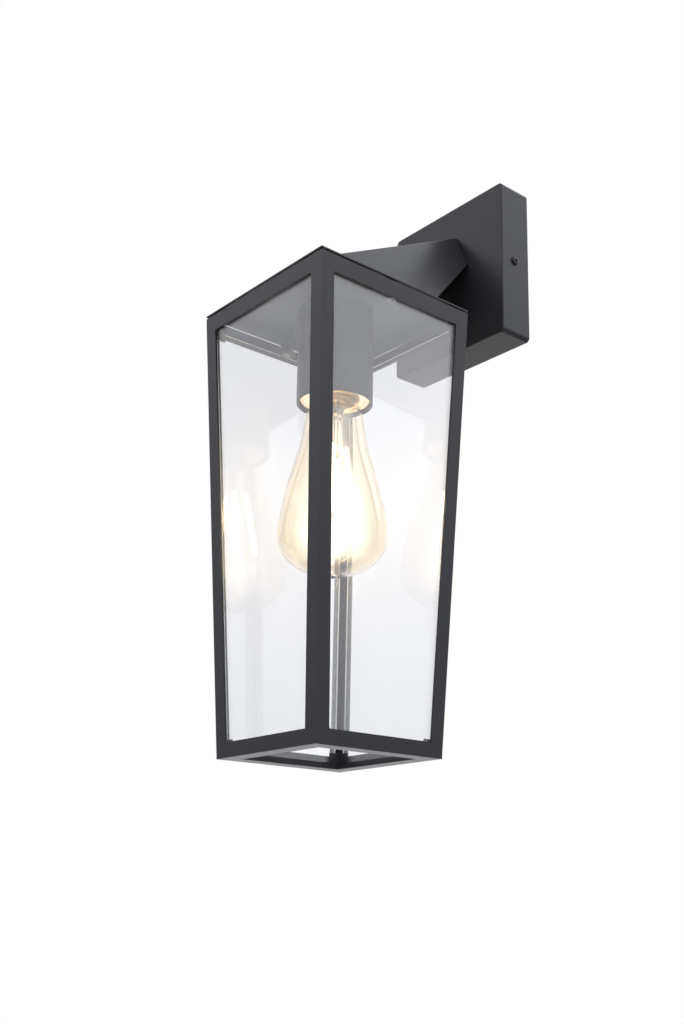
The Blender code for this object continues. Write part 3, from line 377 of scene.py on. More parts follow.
def smooth_line(points, steps=4):
    """Points on a smooth curve through a few chosen ones."""
    knots = [Vector(p) for p in (points[0], *points, points[-1])]
    line = []
    for before, start, end, after in zip(knots, knots[1:], knots[2:], knots[3:]):
        for step in range(steps):
            t = step / steps
            line.append((0.5 * (
                2 * start + (end - before) * t + (2 * before - 5 * start + 4 * end - after) * t ** 2
                + (3 * start - before - 3 * end + after) * t ** 3
            )).to_tuple())
    return line + [tuple(points[-1])]


def wire(name, points, radius):
    """A round wire along a smooth curve through a few points."""
    curve = bpy.data.curves.new(name, "CURVE")
    curve.dimensions = "3D"
    curve.bevel_depth = radius
    curve.bevel_resolution = 3
    curve.use_fill_caps = True
    route = smooth_line(points, 6)
    spline = curve.splines.new("POLY")
    spline.points.add(len(route) - 1)
    for target, point in zip(spline.points, route):
        target.co = (*point, 1.0)
    piece = bpy.data.objects.new(name, curve)
    bpy.context.scene.collection.objects.link(piece)
    pick_object(piece)
    bpy.ops.object.convert(target="MESH")
    piece = named(name)
    with editing(piece):
        bpy.ops.mesh.remove_doubles(threshold=SAME_PLACE / 2)
    smooth(piece, 50.0)
    return piece


def join_pieces(piece, *others):
    pick_object(piece)
    for other in others:
        other.select_set(True)
    bpy.ops.object.join()
    return piece


def turned_copy(piece, name, turn):
    """A copy with its own mesh, turned about the lantern's axis."""
    copy = piece.copy()
    copy.data = piece.data.copy()
    copy.name = name
    copy.data.name = name
    bpy.context.scene.collection.objects.link(copy)
    about = Matrix.Translation(AXIS) @ Matrix.Rotation(turn, 4, "Z") @ Matrix.Translation(-AXIS)
    copy.data.transform(about)
    return copy


def refine(node, name, width, material, slot):
    """Hands over a copy of a plain CAD node, merged, with its edges eased and a finish."""
    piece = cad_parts[node].copy()
    piece.data = piece.data.copy()
    piece.parent = None
    piece.name = name
    piece.data.name = name
    for key in list(piece.keys()):
        if key.startswith("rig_"):
            del piece[key]
    bpy.context.scene.collection.objects.link(piece)
    with editing(piece):
        bpy.ops.mesh.remove_doubles(threshold=SAME_PLACE)
        bpy.ops.mesh.dissolve_limited(angle_limit=math.radians(2.0))
    ease_edges(piece, width)
    hand_over(piece, material, slot, node)


def hand_over(piece, material, slot, *nodes, body="lantern"):
    """Puts a piece's place in its mesh, gives it its finish and ties it to the frame."""
    pick_object(piece)
    bpy.ops.object.transform_apply(location=True, rotation=True, scale=True)
    if material:
        piece.data.materials.clear()
        piece.data.materials.append(finish(material))
    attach(piece, body)
    if nodes:
        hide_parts(*nodes)


def repaint(node, material):
    """A CAD node that keeps its shape gets a finish of its own."""
    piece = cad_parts[node]
    piece.data.materials.clear()
    piece.data.materials.append(finish(material))


# Shader node groups


def add_node(tree, kind, sockets=None, **fields):
    """Adds a node with its fields, and gives each socket its value or a link to what feeds it."""
    node = tree.nodes.new(kind)
    for field, value in fields.items():
        setattr(node, field, value)
    for key, value in (sockets or {}).items():
        if isinstance(value, bpy.types.NodeSocket):
            tree.links.new(value, node.inputs[key])
        else:
            node.inputs[key].default_value = value
    return node


def feed(tree, node, **sources):
    """Links each source to the node's socket of that name, with spaces for underscores."""
    for label, source in sources.items():
        tree.links.new(source, node.inputs[label.replace("_", " ")])


def new_group(name, outputs, **inputs):
    """A node group with its sockets: a tuple is a colour's default, a number a plain value's."""
    group = bpy.data.node_groups.new(name, "ShaderNodeTree")
    sockets = group.interface
    for label, value in inputs.items():
        label = label.replace("_", " ")
        if isinstance(value, tuple):
            socket = sockets.new_socket(label, in_out="INPUT", socket_type="NodeSocketColor")
            socket.default_value = (*value, 1.0)
        else:
            socket = sockets.new_socket(label, in_out="INPUT", socket_type="NodeSocketFloat")
            socket.default_value = value
    for label in outputs:
        kind = "NodeSocketColor" if label == "Colour" else "NodeSocketFloat"
        sockets.new_socket(label, in_out="OUTPUT", socket_type=kind)
    given = group.nodes.new("NodeGroupInput")
    return group, given.outputs, group.nodes.new("NodeGroupOutput")


def noise(tree, vector, scale, detail, roughness):
    return add_node(tree, "ShaderNodeTexNoise", {
        "Vector": vector, "Scale": scale, "Detail": detail, "Roughness": roughness,
    }).outputs["Fac"]


def remap(tree, source, low, high, new_low, new_high):
    return add_node(tree, "ShaderNodeMapRange", {
        "Value": source, "From Min": low, "From Max": high, "To Min": new_low, "To Max": new_high,
    }).outputs["Result"]


def maths(tree, operation, first, second):
    return add_node(tree, "ShaderNodeMath", {0: first, 1: second}, operation=operation).outputs[0]


def mixed(tree, share, first, second):
    """A colour between two others."""
    return add_node(
        tree, "ShaderNodeMix", {"Factor": share, 6: first, 7: second}, data_type="RGBA"
    ).outputs[2]


def shaded(tree, colour, change):
    """A colour made lighter or darker by a share of its value."""
    value = maths(tree, "ADD", 1.0, change)
    return add_node(
        tree, "ShaderNodeHueSaturation", {"Value": value, "Color": colour}
    ).outputs["Color"]


def object_place(tree):
    return tree.nodes.new("ShaderNodeTexCoord").outputs["Object"]


def powder_coat_group():
    """Fine orange peel and faint unevenness of a baked powder coat."""
    group, given, out = new_group(
        "Powder coat", SURFACE, Colour=(0.05, 0.05, 0.055), Grain_scale=1600.0, Unevenness=0.05,
        Smoothest=0.34, Roughest=0.48,
    )
    place = object_place(group)
    grain = noise(group, place, given["Grain scale"], 4.0, 0.6)
    broad = noise(group, place, 38.0, 3.0, 0.5)
    patches = noise(group, place, 260.0, 2.0, 0.5)
    spread, fleck = (
        maths(group, "MULTIPLY", given["Unevenness"], maths(group, "SUBTRACT", source, 0.5))
        for source in (broad, grain)
    )
    change = maths(group, "ADD", maths(group, "MULTIPLY", spread, 2.0), fleck)
    feed(
        group, out, Colour=shaded(group, given["Colour"], change),
        Roughness=remap(group, patches, 0.35, 0.65, given["Smoothest"], given["Roughest"]),
        Height=grain,
    )


def settled_dust_group():
    """Pale dust that lies thinly on what faces up."""
    group, given, out = new_group(
        "Settled dust", ("Colour", "Mask"), Colour=(0.05, 0.05, 0.05),
        Dust_colour=(0.32, 0.31, 0.29), Amount=0.12,
    )
    normal = group.nodes.new("ShaderNodeNewGeometry").outputs["Normal"]
    facing = add_node(group, "ShaderNodeSeparateXYZ", {0: normal}).outputs["Z"]
    up = remap(group, facing, 0.55, 0.98, 0.0, 1.0)
    cloud = remap(group, noise(group, object_place(group), 45.0, 4.0, 0.5), 0.3, 0.7, 0.3, 1.0)
    mask = maths(group, "MULTIPLY", maths(group, "MULTIPLY", up, cloud), given["Amount"])
    colour = mixed(group, mask, given["Colour"], given["Dust colour"])
    feed(group, out, Colour=colour, Mask=mask)


def worked_metal_group():
    """Fine drawn lines and a faint tarnish on plated or rolled metal."""
    group, given, out = new_group(
        "Worked metal", SURFACE, Colour=(0.6, 0.6, 0.6), Tarnish_colour=(0.3, 0.28, 0.25),
        Tarnish=0.25, Line_scale=300.0, Smoothest=0.22, Roughest=0.42,
    )
    place = object_place(group)
    stretch = add_node(group, "ShaderNodeMapping", {"Vector": place, "Scale": (1.0, 1.0, 14.0)})
    lines = noise(group, stretch.outputs["Vector"], given["Line scale"], 3.0, 0.6)
    cloud = remap(group, noise(group, place, 160.0, 4.0, 0.6), 0.4, 0.72, 0.0, 1.0)
    mask = maths(group, "MULTIPLY", cloud, given["Tarnish"])
    feed(
        group, out, Colour=mixed(group, mask, given["Colour"], given["Tarnish colour"]),
        Roughness=remap(group, lines, 0.3, 0.7, given["Smoothest"], given["Roughest"]),
        Height=lines,
    )


def glass_film_group():
    """The faint uneven film on glass that has been wiped."""
    group, given, out = new_group(
        "Glass film", ("Roughness", "Height"), Film_scale=60.0, Most=0.03
    )
    place = object_place(group)
    film = noise(group, place, given["Film scale"], 5.0, 0.6)
    feed(
        group, out, Roughness=remap(group, film, 0.45, 0.8, 0.0, given["Most"]),
        Height=noise(group, place, 12.0, 1.0, 0.4),
    )


def moulding_group():
    """Faint flow marks and shade changes in moulded or extruded plastic and foam."""
    group, given, out = new_group(
        "Moulding", SURFACE, Colour=(0.8, 0.8, 0.8), Grain_scale=700.0, Mottle=0.4,
        Smoothest=0.25, Roughest=0.4,
    )
    place = object_place(group)
    grain = noise(group, place, given["Grain scale"], 3.0, 0.6)
    broad = noise(group, place, 90.0, 3.0, 0.5)
    change = maths(group, "MULTIPLY", given["Mottle"], maths(group, "SUBTRACT", broad, 0.5))
    feed(
        group, out, Colour=shaded(group, given["Colour"], change),
        Roughness=remap(group, grain, 0.3, 0.7, given["Smoothest"], given["Roughest"]),
        Height=grain,
    )


GROUPS = {
    "Powder coat": powder_coat_group, "Settled dust": settled_dust_group,
    "Worked metal": worked_metal_group, "Glass film": glass_film_group, "Moulding": moulding_group,
}


def place_group(tree, name, **values):
    """Places a shared effect in a material, with its own values."""
    if name not in bpy.data.node_groups:
        GROUPS[name]()
    node = add_node(tree, "ShaderNodeGroup", node_tree=bpy.data.node_groups[name])
    for label, value in values.items():
        label = label.replace("_", " ")
        node.inputs[label].default_value = (*value, 1.0) if hasattr(value, "__len__") else value
    return node


# Materials


def new_finish(name, **plain):
    """A material with its plain values on the shader's own sockets."""
    material = bpy.data.materials.new(name)
    material.use_nodes = True
    shader = material.node_tree.nodes["Principled BSDF"]
    for label, value in plain.items():
        shader.inputs[label.replace("_", " ")].default_value = value
    return material, material.node_tree, shader


def raise_grain(tree, shader, height, distance, strength):
    bump = add_node(
        tree, "ShaderNodeBump", {"Distance": distance, "Strength": strength, "Height": height}
    )
    feed(tree, shader, Normal=bump.outputs["Normal"])


def painted(name, shade, grain_scale, smoothest, roughest, dust):
    """Sheet metal or a screw under its coat, with a share of dust on top."""
    material, tree, shader = new_finish(name, Specular_IOR_Level=0.18)
    coat = place_group(
        tree, "Powder coat", Colour=shade, Grain_scale=grain_scale, Smoothest=smoothest,
        Roughest=roughest,
    ).outputs
    dusty = place_group(tree, "Settled dust", Amount=dust)
    feed(tree, dusty, Colour=coat["Colour"])
    rough = maths(tree, "ADD", coat["Roughness"], dusty.outputs["Mask"])
    feed(tree, shader, Base_Color=dusty.outputs["Colour"], Roughness=rough)
    raise_grain(tree, shader, coat["Height"], 0.00001, 0.08)
    return material


def dressed(bare, effect, distance, strength, **values):
    """A new material fed by one shared effect, with its grain raised."""
    material, tree, shader = bare
    work = place_group(tree, effect, **values).outputs
    feed(tree, shader, Base_Color=work["Colour"], Roughness=work["Roughness"])
    raise_grain(tree, shader, work["Height"], distance, strength)
    return material


def metal(name, shade, tarnish, smoothest, roughest, amount):
    """Bare or plated metal, with an amount of tarnish."""
    return dressed(
        new_finish(name, Metallic=1.0), "Worked metal", 0.00004, 0.25, Colour=shade,
        Tarnish_colour=tarnish, Tarnish=amount, Smoothest=smoothest, Roughest=roughest,
    )


def moulded(name, shade, grain_scale, smoothest, roughest, depth, mottle=0.4, **plain):
    """Plastic, foam or another even body, with its grain raised to a depth."""
    return dressed(
        new_finish(name, **plain), "Moulding", depth, 0.4, Colour=shade, Grain_scale=grain_scale,
        Mottle=mottle, Smoothest=smoothest, Roughest=roughest,
    )


def let_lamps_through(material, shade):
    """Glass that lamps shine through: for a shadow ray it is plainly clear."""
    tree = material.node_tree
    clear = add_node(tree, "ShaderNodeBsdfTransparent", {"Color": (*shade, 1.0)})
    mix = add_node(tree, "ShaderNodeMixShader", {
        0: tree.nodes.new("ShaderNodeLightPath").outputs["Is Shadow Ray"],
        1: tree.nodes["Principled BSDF"].outputs[0],
        2: clear.outputs[0],
    })
    feed(tree, tree.nodes["Material Output"], Surface=mix.outputs[0])


def glassy(name, shade, film, film_scale=60.0, ior=1.5, haze=0.0, **plain):
    """Glass under a film, with a share of light that it scatters."""
    material, tree, shader = new_finish(
        name, Base_Color=(*shade, 1.0), Transmission_Weight=1.0 - haze, IOR=ior, **plain
    )
    wiped = place_group(tree, "Glass film", Film_scale=film_scale, Most=film).outputs
    feed(tree, shader, Roughness=wiped["Roughness"])
    raise_grain(tree, shader, wiped["Height"], 0.00025, 0.15)
    let_lamps_through(material, shade)
    return material


def glass_with_painted_glow(name, shade, glow):
    """Amber glass with a painted glow that stands in for the filaments' light: emission on the
    glass itself, strongest at the filaments' height and where the glass faces the eye.
    """
    material = glassy(name, shade, 0.02, 90.0, 1.45, Emission_Strength=1.0)
    tree = material.node_tree
    height = add_node(tree, "ShaderNodeSeparateXYZ", {0: object_place(tree)}).outputs["Z"]
    tip, mouth = BULB[0].z, BULB[1].z
    # painted glow: a little less at the tip, hardly any in the neck, none where the glass turns
    # away from the eye
    rise = remap(tree, height, tip, tip + 0.012, 0.8, 1.0)
    fall = remap(tree, height, mouth - 0.050, mouth - 0.012, 1.0, 0.1)
    facing = add_node(tree, "ShaderNodeLayerWeight", {"Blend": 0.5}).outputs["Facing"]
    middle = remap(tree, facing, 0.015, 0.135, 1.0, 0.0)
    mask = maths(tree, "MULTIPLY", maths(tree, "MULTIPLY", rise, fall), middle)
    # colour of the painted glow on the glass, taken from the filaments' colour
    painted_glow_colour = (*[0.75 * part ** 0.6 for part in glow], 1.0)
    light = mixed(tree, mask, (0.0, 0.0, 0.0, 1.0), painted_glow_colour)
    feed(tree, tree.nodes["Principled BSDF"], Emission_Color=light)
    return material


def glowing(name, shade, strength):
    """A hot filament, a little uneven along its length."""
    material, tree, shader = new_finish(
        name, Base_Color=(1.0, 0.8, 0.5, 1.0), Emission_Strength=strength, Roughness=0.5
    )
    cloud = remap(tree, noise(tree, object_place(tree), 900.0, 2.0, 0.5), 0.3, 0.7, 0.85, 1.0)
    tinted = add_node(
        tree, "ShaderNodeHueSaturation", {"Value": cloud, "Color": (*shade, 1.0)}
    )
    feed(tree, shader, Emission_Color=tinted.outputs["Color"])
    return material


def finish(name):
    """A material by name, made the first time it is asked for."""
    if name in bpy.data.materials:
        return bpy.data.materials[name]
    tones = bpy.context.scene.lantern_colours
    # what makes it, its colour, and the rest in the order that its maker takes them
    make, *values = {
        "graphite_paint_coat": (painted, tones.paint, 1600.0, 0.34, 0.38, 0.05),
        "cup_paint_coat": (painted, tones.paint, 1900.0, 0.38, 0.44, 0.0),
        "blackened_steel": (painted, tones.oxide, 2600.0, 0.28, 0.42, 0.0),
        "earth_screw_green": (painted, (0.03, 0.24, 0.08), 2400.0, 0.3, 0.45, 0.0),
        "zinc_plated": (metal, tones.zinc, (0.22, 0.22, 0.21), 0.34, 0.52, 0.35),
        "rolled_brass": (metal, tones.brass, (0.62, 0.42, 0.16), 0.22, 0.38, 0.3),
        "support_wire": (metal, (0.42, 0.36, 0.26), (0.16, 0.13, 0.10), 0.3, 0.45, 0.4),
        "drawn_copper": (metal, (0.82, 0.44, 0.26), (0.35, 0.16, 0.08), 0.2, 0.4, 0.35),
        "foam_rubber": (moulded, (0.03, 0.03, 0.03), 2200.0, 0.8, 0.95, 0.0003),
        "cream_moulding": (
            moulded, tones.holder, 800.0, 0.22, 0.36, 0.00003, {"Coat_Weight": 0.2}
        ),
        "black_insulator": (moulded, (0.015, 0.015, 0.02), 900.0, 0.12, 0.2, 0.00002),
        "black_covering": (moulded, (0.02, 0.02, 0.02), 1200.0, 0.35, 0.5, 0.00003),
        "white_covering": (moulded, (0.8, 0.8, 0.78), 1200.0, 0.35, 0.5, 0.00003),
        "ground_glass_edge": (
            moulded, (0.80, 0.86, 0.85), 1500.0, 0.35, 0.5, 0.00003,
            {"Transmission_Weight": 0.35, "IOR": 1.5},
        ),
        "studio_floor": (moulded, tones.floor, 6.0, 0.75, 0.85, 0.0001, 0.02),
        "float_glass": (glassy, tones.glass, 0.012, {"haze": tones.haze}),
        "stem_glass_clear": (glassy, (0.96, 0.95, 0.92), 0.02, 200.0),
        # the bulb's glass carries a painted glow, though it is no lamp
        "amber_bulb_glass": (glass_with_painted_glow, tones.amber, tones.glow),
        "hot_filament": (glowing, tones.glow, tones.glow_strength),
    }[name]
    more = values.pop() if isinstance(values[-1], dict) else {}
    return make(name, *values, **more)


# Wall side


def make_wall_box():
    """The shallow square box: folded corners, open back, and its holes."""
    sizes = bpy.context.scene.lantern_sizes
    low, high = BOX
    depth = high.y - low.y
    box = block("wall_box_shell", low, high)
    with editing(box):
        pick(box, "edges", lambda e: abs(e.verts[0].co.y - e.verts[1].co.y) > depth / 2)
        bpy.ops.mesh.bevel(offset=sizes.box_corner, segments=6, affect="EDGES")
        pick(box, "faces", lambda f: f.normal.y > 0.9)
        bpy.ops.mesh.delete(type="ONLY_FACE")
        pick(box, "edges", lambda e: all(v.co.y < low.y + depth * 0.05 for v in e.verts))
        bpy.ops.mesh.bevel(offset=sizes.box_edge, segments=3, affect="EDGES")
    thicken(box, sizes.sheet)

    lead = points_at("live_lead", Y, low.y, 0.002)
    lead_z = sum(p.z for p in lead) / max(1, len(lead))
    near, far = low.y - CUT_MARGIN, low.y + 2 * CUT_MARGIN
    inner, outer = high.x - 2 * CUT_MARGIN, high.x + CUT_MARGIN
    weep_radius, weep_reach, lead_hole_radius = 0.002, 0.003, 0.005
    cuts = [rod(Z, weep_radius, (0, mid(BOX, Y), 0), low.z - weep_reach, low.z + weep_reach)]
    for side in (-1, 1):
        cuts += [
            rod(X, SCREW_HOLE, (0, mid(SIDE_SCREW, Y), 0), side * inner, side * outer),
            rod(Y, SCREW_HOLE, (side * NECK_SCREW_X, 0, NECK_SCREW_Z), near, far),
        ]
    cuts.append(rod(Y, lead_hole_radius, (0, 0, lead_z), near, far))
    combine(box, "DIFFERENCE", *cuts)
    smooth_bends(box)
    hand_over(box, "graphite_paint_coat", "graphite_paint", "wall_box")


def make_wall_fittings():
    """The bracket and foam ring behind the box, and the finish of the leads."""
    refine("mounting_bracket", "bracket_strip", 0.0002, "zinc_plated", "zinc_plate")
    refine("box_gasket", "gasket_ring", 0.0005, "foam_rubber", "gasket_foam")
    repaint("live_lead", "black_covering")
    repaint("neutral_lead", "white_covering")
    repaint("earth_wire", "drawn_copper")


def slice_off(piece, point, normal):
    """Cuts a solid at a plane and closes it there. The normal points at what goes."""
    with editing(piece):
        bpy.ops.mesh.bisect(plane_co=point, plane_no=normal, clear_outer=True, use_fill=True)


def make_neck():
    """The leaning pyramid hood, folded from sheet, with the strap that the nipple goes through."""
    sizes = bpy.context.scene.lantern_sizes
    low, high = NECK
    base, wall_end = points_at("neck", Z, low.z), points_at("neck", Y, high.y)
    rear, base_half = max(p.y for p in base), max(p.x for p in base)
    foot_height, foot_half = min(p.z for p in wall_end), max(p.x for p in wall_end)
    hood = block("neck_hood", low, high)
    for side in (-1, 1):
        slice_off(
            hood, (side * base_half, 0, low.z),
            (side * (foot_height - low.z), 0, base_half - foot_half),
        )
    slice_off(hood, (0, low.y, low.z), (0, low.z - high.z, high.y - low.y))
    slice_off(hood, (0, rear, low.z), (0, foot_height - low.z, rear - high.y))
    with editing(hood):
        pick(hood, "faces", lambda f: f.normal.z < -0.999)
        bpy.ops.mesh.delete(type="ONLY_FACE")
    apply_modifier(
        hood, "BEVEL", width=sizes.neck_edge, segments=3, limit_method="ANGLE",
        angle_limit=math.radians(12.0),
    )
    thicken(hood, sizes.sheet)

    strap_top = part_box("nipple_locknut")[0].z - GAP
    strap_reach, strap_half = base_half - sizes.sheet / 2, 0.008
    strap = block(
        "strap", (-strap_reach, AXIS.y - strap_half, low.z),
        (strap_reach, AXIS.y + strap_half, strap_top),
    )
    combine(hood, "UNION", strap)
    reach = 2 * CUT_MARGIN
    cuts = [rod(Z, NIPPLE_RADIUS + GAP, AXIS, low.z - reach, strap_top + reach)]
    for side in (-1, 1):
        place = (side * NECK_SCREW_X, 0, NECK_SCREW_Z)
        cuts.append(rod(Y, SCREW_HOLE, place, high.y - reach, high.y + reach))
    combine(hood, "DIFFERENCE", *cuts)
    smooth_bends(hood)
    hand_over(hood, "graphite_paint_coat", "graphite_paint", "neck")


# Lid and cage


def make_lid():
    """The thin square lid with the bosses that the cage is screwed to."""
    sizes = bpy.context.scene.lantern_sizes
    boss_radius, thread_radius = 0.0035, 0.0021
    underside = LID_TOP - sizes.sheet
    plate = block(
        "lid_plate", (-TOP_HALF, AXIS.y - TOP_HALF, underside),
        (TOP_HALF, AXIS.y + TOP_HALF, LID_TOP),
    )
    ease_edges(plate, sizes.edge_radius, 3)
    boss_foot = SHELF_UNDERSIDE + sizes.sheet + GAP
    bosses, cuts = [], []
    for side in (-1, 1):
        place = (side * EAR_SCREW_X, AXIS.y, 0)
        bosses.append(rod(Z, boss_radius, place, boss_foot, underside + sizes.sheet / 2))
        cuts.append(
            rod(Z, thread_radius, place, boss_foot - CUT_MARGIN, LID_TOP - sizes.sheet / 2)
        )
    combine(plate, "UNION", *bosses)
    combine(plate, "DIFFERENCE", *cuts)
    smooth_bends(plate)
    hand_over(plate, "graphite_paint_coat", "graphite_paint", "lid")


def tapered_block(name, low, high, inset):
    """A square block about the lantern's axis that leans with the cage, a depth inside its face."""
    foot_half, head_half = half_at(low) - inset, half_at(high) - inset
    piece = block(
        name, (-foot_half, AXIS.y - foot_half, low), (foot_half, AXIS.y + foot_half, high)
    )
    with editing(piece):
        pick(piece, "faces", lambda f: f.normal.z > 0.9)
        grow = head_half / foot_half
        bpy.ops.transform.resize(value=(grow, grow, 1.0), center_override=(*CENTRE, high))
    return piece


def pierced_plate(name, low, high, half, depth):
    """A square ring: a plate whose two faces are inset and bridged."""
    ring = block(name, (-half, AXIS.y - half, low), (half, AXIS.y + half, high))
    with editing(ring):
        pick(ring, "faces", lambda f: abs(f.normal.z) > 0.9)
        bpy.ops.mesh.inset(thickness=depth)
        bpy.ops.mesh.bridge_edge_loops()
        bpy.ops.mesh.select_all(action="SELECT")
        bpy.ops.mesh.normals_make_consistent(inside=False)
    return ring


def make_shelf():
    """The shelf behind the top rails, with a half-round ear on the right and the left."""
    sizes = bpy.context.scene.lantern_sizes
    top = SHELF_UNDERSIDE + sizes.sheet
    half = half_at(SHELF_UNDERSIDE)
    root = sizes.sheet / 2
    shelf = pierced_plate("shelf", SHELF_UNDERSIDE, top, half - root, sizes.shelf_depth - root)
    edge = half - sizes.shelf_depth
    ear_overlap, notch_depth, proud = 0.0008, 0.0030, 0.001
    cuts = []
    for side in (-1, 1):
        place = (side * edge, AXIS.y, 0)
        ear = rod(Z, sizes.ear_radius, place, SHELF_UNDERSIDE, top, 48)
        slice_off(ear, (side * (edge + ear_overlap), AXIS.y, 0), (side, 0, 0))
        combine(shelf, "UNION", ear)
        cuts.append(rod(
            Z, SCREW_HOLE, (side * EAR_SCREW_X, AXIS.y, 0), SHELF_UNDERSIDE - CUT_MARGIN,
            top + CUT_MARGIN,
        ))
        for end in (-1, 1):
            middle = AXIS.y + end * (sizes.ear_radius + sizes.ear_notch / 2)
            near = sorted((side * (edge - notch_depth), side * (edge + sizes.ear_notch)))
            cuts.append(block(
                "notch", (near[0], middle - sizes.ear_notch / 2, SHELF_UNDERSIDE - proud),
                (near[1], middle + sizes.ear_notch / 2, top + proud),
            ))
    combine(shelf, "DIFFERENCE", *cuts)
    return shelf


def make_cage_frame():
    """The welded and painted frame: four posts, the rails, the flange below, the glazing lip and
    the shelf above, as one piece with no joints showing."""
    sizes = bpy.context.scene.lantern_sizes
    cage = tapered_block("cage_frame", FOOT, RAIL_TOP, 0.0)
    with editing(cage):
        for height in (BOTTOM_RAIL_TOP, RAIL_FOOT):
            bpy.ops.mesh.select_all(action="SELECT")
            bpy.ops.mesh.bisect(plane_co=(0, 0, height), plane_no=(0, 0, 1))
        inner = BOTTOM_HALF - sizes.post_width
        for along in (Vector((1, 0, 0)), Vector((0, 1, 0))):
            for side in (-1, 1):
                bpy.ops.mesh.select_all(action="SELECT")
                point = AXIS + along * side * inner + Vector((0, 0, FOOT))
                lean = along * side - Vector((0, 0, SLOPE))
                bpy.ops.mesh.bisect(plane_co=point, plane_no=lean)
        pick(cage, "faces", lambda f: abs(f.normal.z) > 0.9)
        bpy.ops.mesh.delete(type="FACE")
        pick(cage, "faces", is_window)
        bpy.ops.mesh.delete(type="ONLY_FACE")
        pick(cage, "edges", lambda e: all(abs(v.co.z - FOOT) < SAME_PLACE for v in e.verts))
        bpy.ops.mesh.extrude_region_move(TRANSFORM_OT_translate={"value": (0, 0, 0)})
        inward = (BOTTOM_HALF - sizes.flange_depth) / BOTTOM_HALF
        bpy.ops.transform.resize(value=(inward, inward, 1.0), center_override=(*CENTRE, FOOT))
    thicken(cage, sizes.sheet)

    lip = tapered_block("lip", FOOT + sizes.sheet / 2, LIP_TOP, sizes.lip_depth)
    with editing(lip):
        pick(lip, "faces", lambda f: abs(f.normal.z) > 0.9)
        bpy.ops.mesh.delete(type="ONLY_FACE")
    thicken(lip, sizes.lip_sheet)
    combine(cage, "UNION", make_shelf(), lip)
    ease_edges(cage, sizes.edge_radius)
    nodes = [f"{level}_rail_{side}" for level in ("top", "bottom") for side in SIDES]
    nodes += [f"corner_post_{corner}" for corner in CORNERS]
    hand_over(cage, "graphite_paint_coat", "graphite_paint", *nodes)


def is_window(face):
    """Tells the panels between posts and rails, where the glass shows."""
    place = face.calc_center_median() - AXIS
    from_middle, post_side = min(abs(place.x), abs(place.y)), 0.01
    return from_middle < post_side and BOTTOM_RAIL_TOP < place.z < RAIL_FOOT


def make_glass():
    """Four panes that lean with the cage, with clear faces and ground edges."""
    sizes = bpy.context.scene.lantern_sizes
    low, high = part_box("glass_pane_front")
    foot = points_at("glass_pane_front", Z, low.z)
    head = points_at("glass_pane_front", Z, high.z)
    near, far = min(p.y for p in foot), max(p.y for p in foot)
    foot_half, head_half = max(p.x for p in foot), max(p.x for p in head)
    pane = block("pane_front", (-foot_half, near, low.z), (foot_half, far, high.z))
    with editing(pane):
        pick(pane, "faces", lambda f: f.normal.z > 0.9)
        bpy.ops.transform.resize(
            value=(head_half / foot_half, 1.0, 1.0), center_override=(0, near, high.z)
        )
        bpy.ops.transform.translate(value=(0, min(p.y for p in head) - near, 0))
        pick(pane, "edges", lambda e: True)
        bpy.ops.mesh.bevel(offset=sizes.glass_edge, segments=1, affect="EDGES")
    pane.data.materials.append(finish("float_glass"))
    pane.data.materials.append(finish("ground_glass_edge"))
    for face in pane.data.polygons:
        face.material_index = 0 if abs(face.normal.y) > 0.99 else 1
    panes = [pane] + [
        turned_copy(pane, f"pane_{side}", math.radians(90.0 * (index + 1)))
        for index, side in enumerate(SIDES[1:])
    ]
    for piece, side in zip(panes, SIDES):
        hand_over(piece, None, "clear_glass", f"glass_pane_{side}")


def make_clips():
    """The angle clips that hold the panes in the corners, top and bottom."""
    for level in ("lower", "upper"):
        for corner in CORNERS:
            refine(
                f"{level}_clip_{corner}", f"{level}_pane_clip_{corner}", 0.0002,
                "blackened_steel", "black_screw",
            )


def screw_piece(name, head_radius, head_height, shank_radius, length):
    """A pan-head screw about the world's axis, head up, with a thread and a cross recess."""
    rim = 0.35  # share of the head's height; the rest is its dome
    points = [(0.0, head_height)]
    for step in range(1, 7):
        angle = math.radians(15.0 * step)
        height = head_height * (rim + (1.0 - rim) * math.cos(angle))
        points.append((head_radius * math.sin(angle), height))
    points += [(head_radius, 0.0), (shank_radius, 0.0)]
    pitch, plain_neck, root_radius = 0.0007, 0.0006, shank_radius * 0.84
    for turn in range(int((length - 2 * plain_neck) / pitch)):
        height = -plain_neck - turn * pitch
        points += [(root_radius, height), (shank_radius, height - pitch / 2)]
    points += [(shank_radius * 0.6, -length), (0.0, -length)]
    screw = turned(name, points, centre=(0.0, 0.0), steps=32, crease=30.0)
    reach, width, depth = head_radius * 0.6, head_radius * 0.13, head_height * 0.35
    combine(
        screw, "DIFFERENCE",
        block("cut", (-reach, -width, depth), (reach, width, head_height * 2)),
        block("cut", (-width, -reach, depth), (width, reach, head_height * 2)),
    )
    return screw


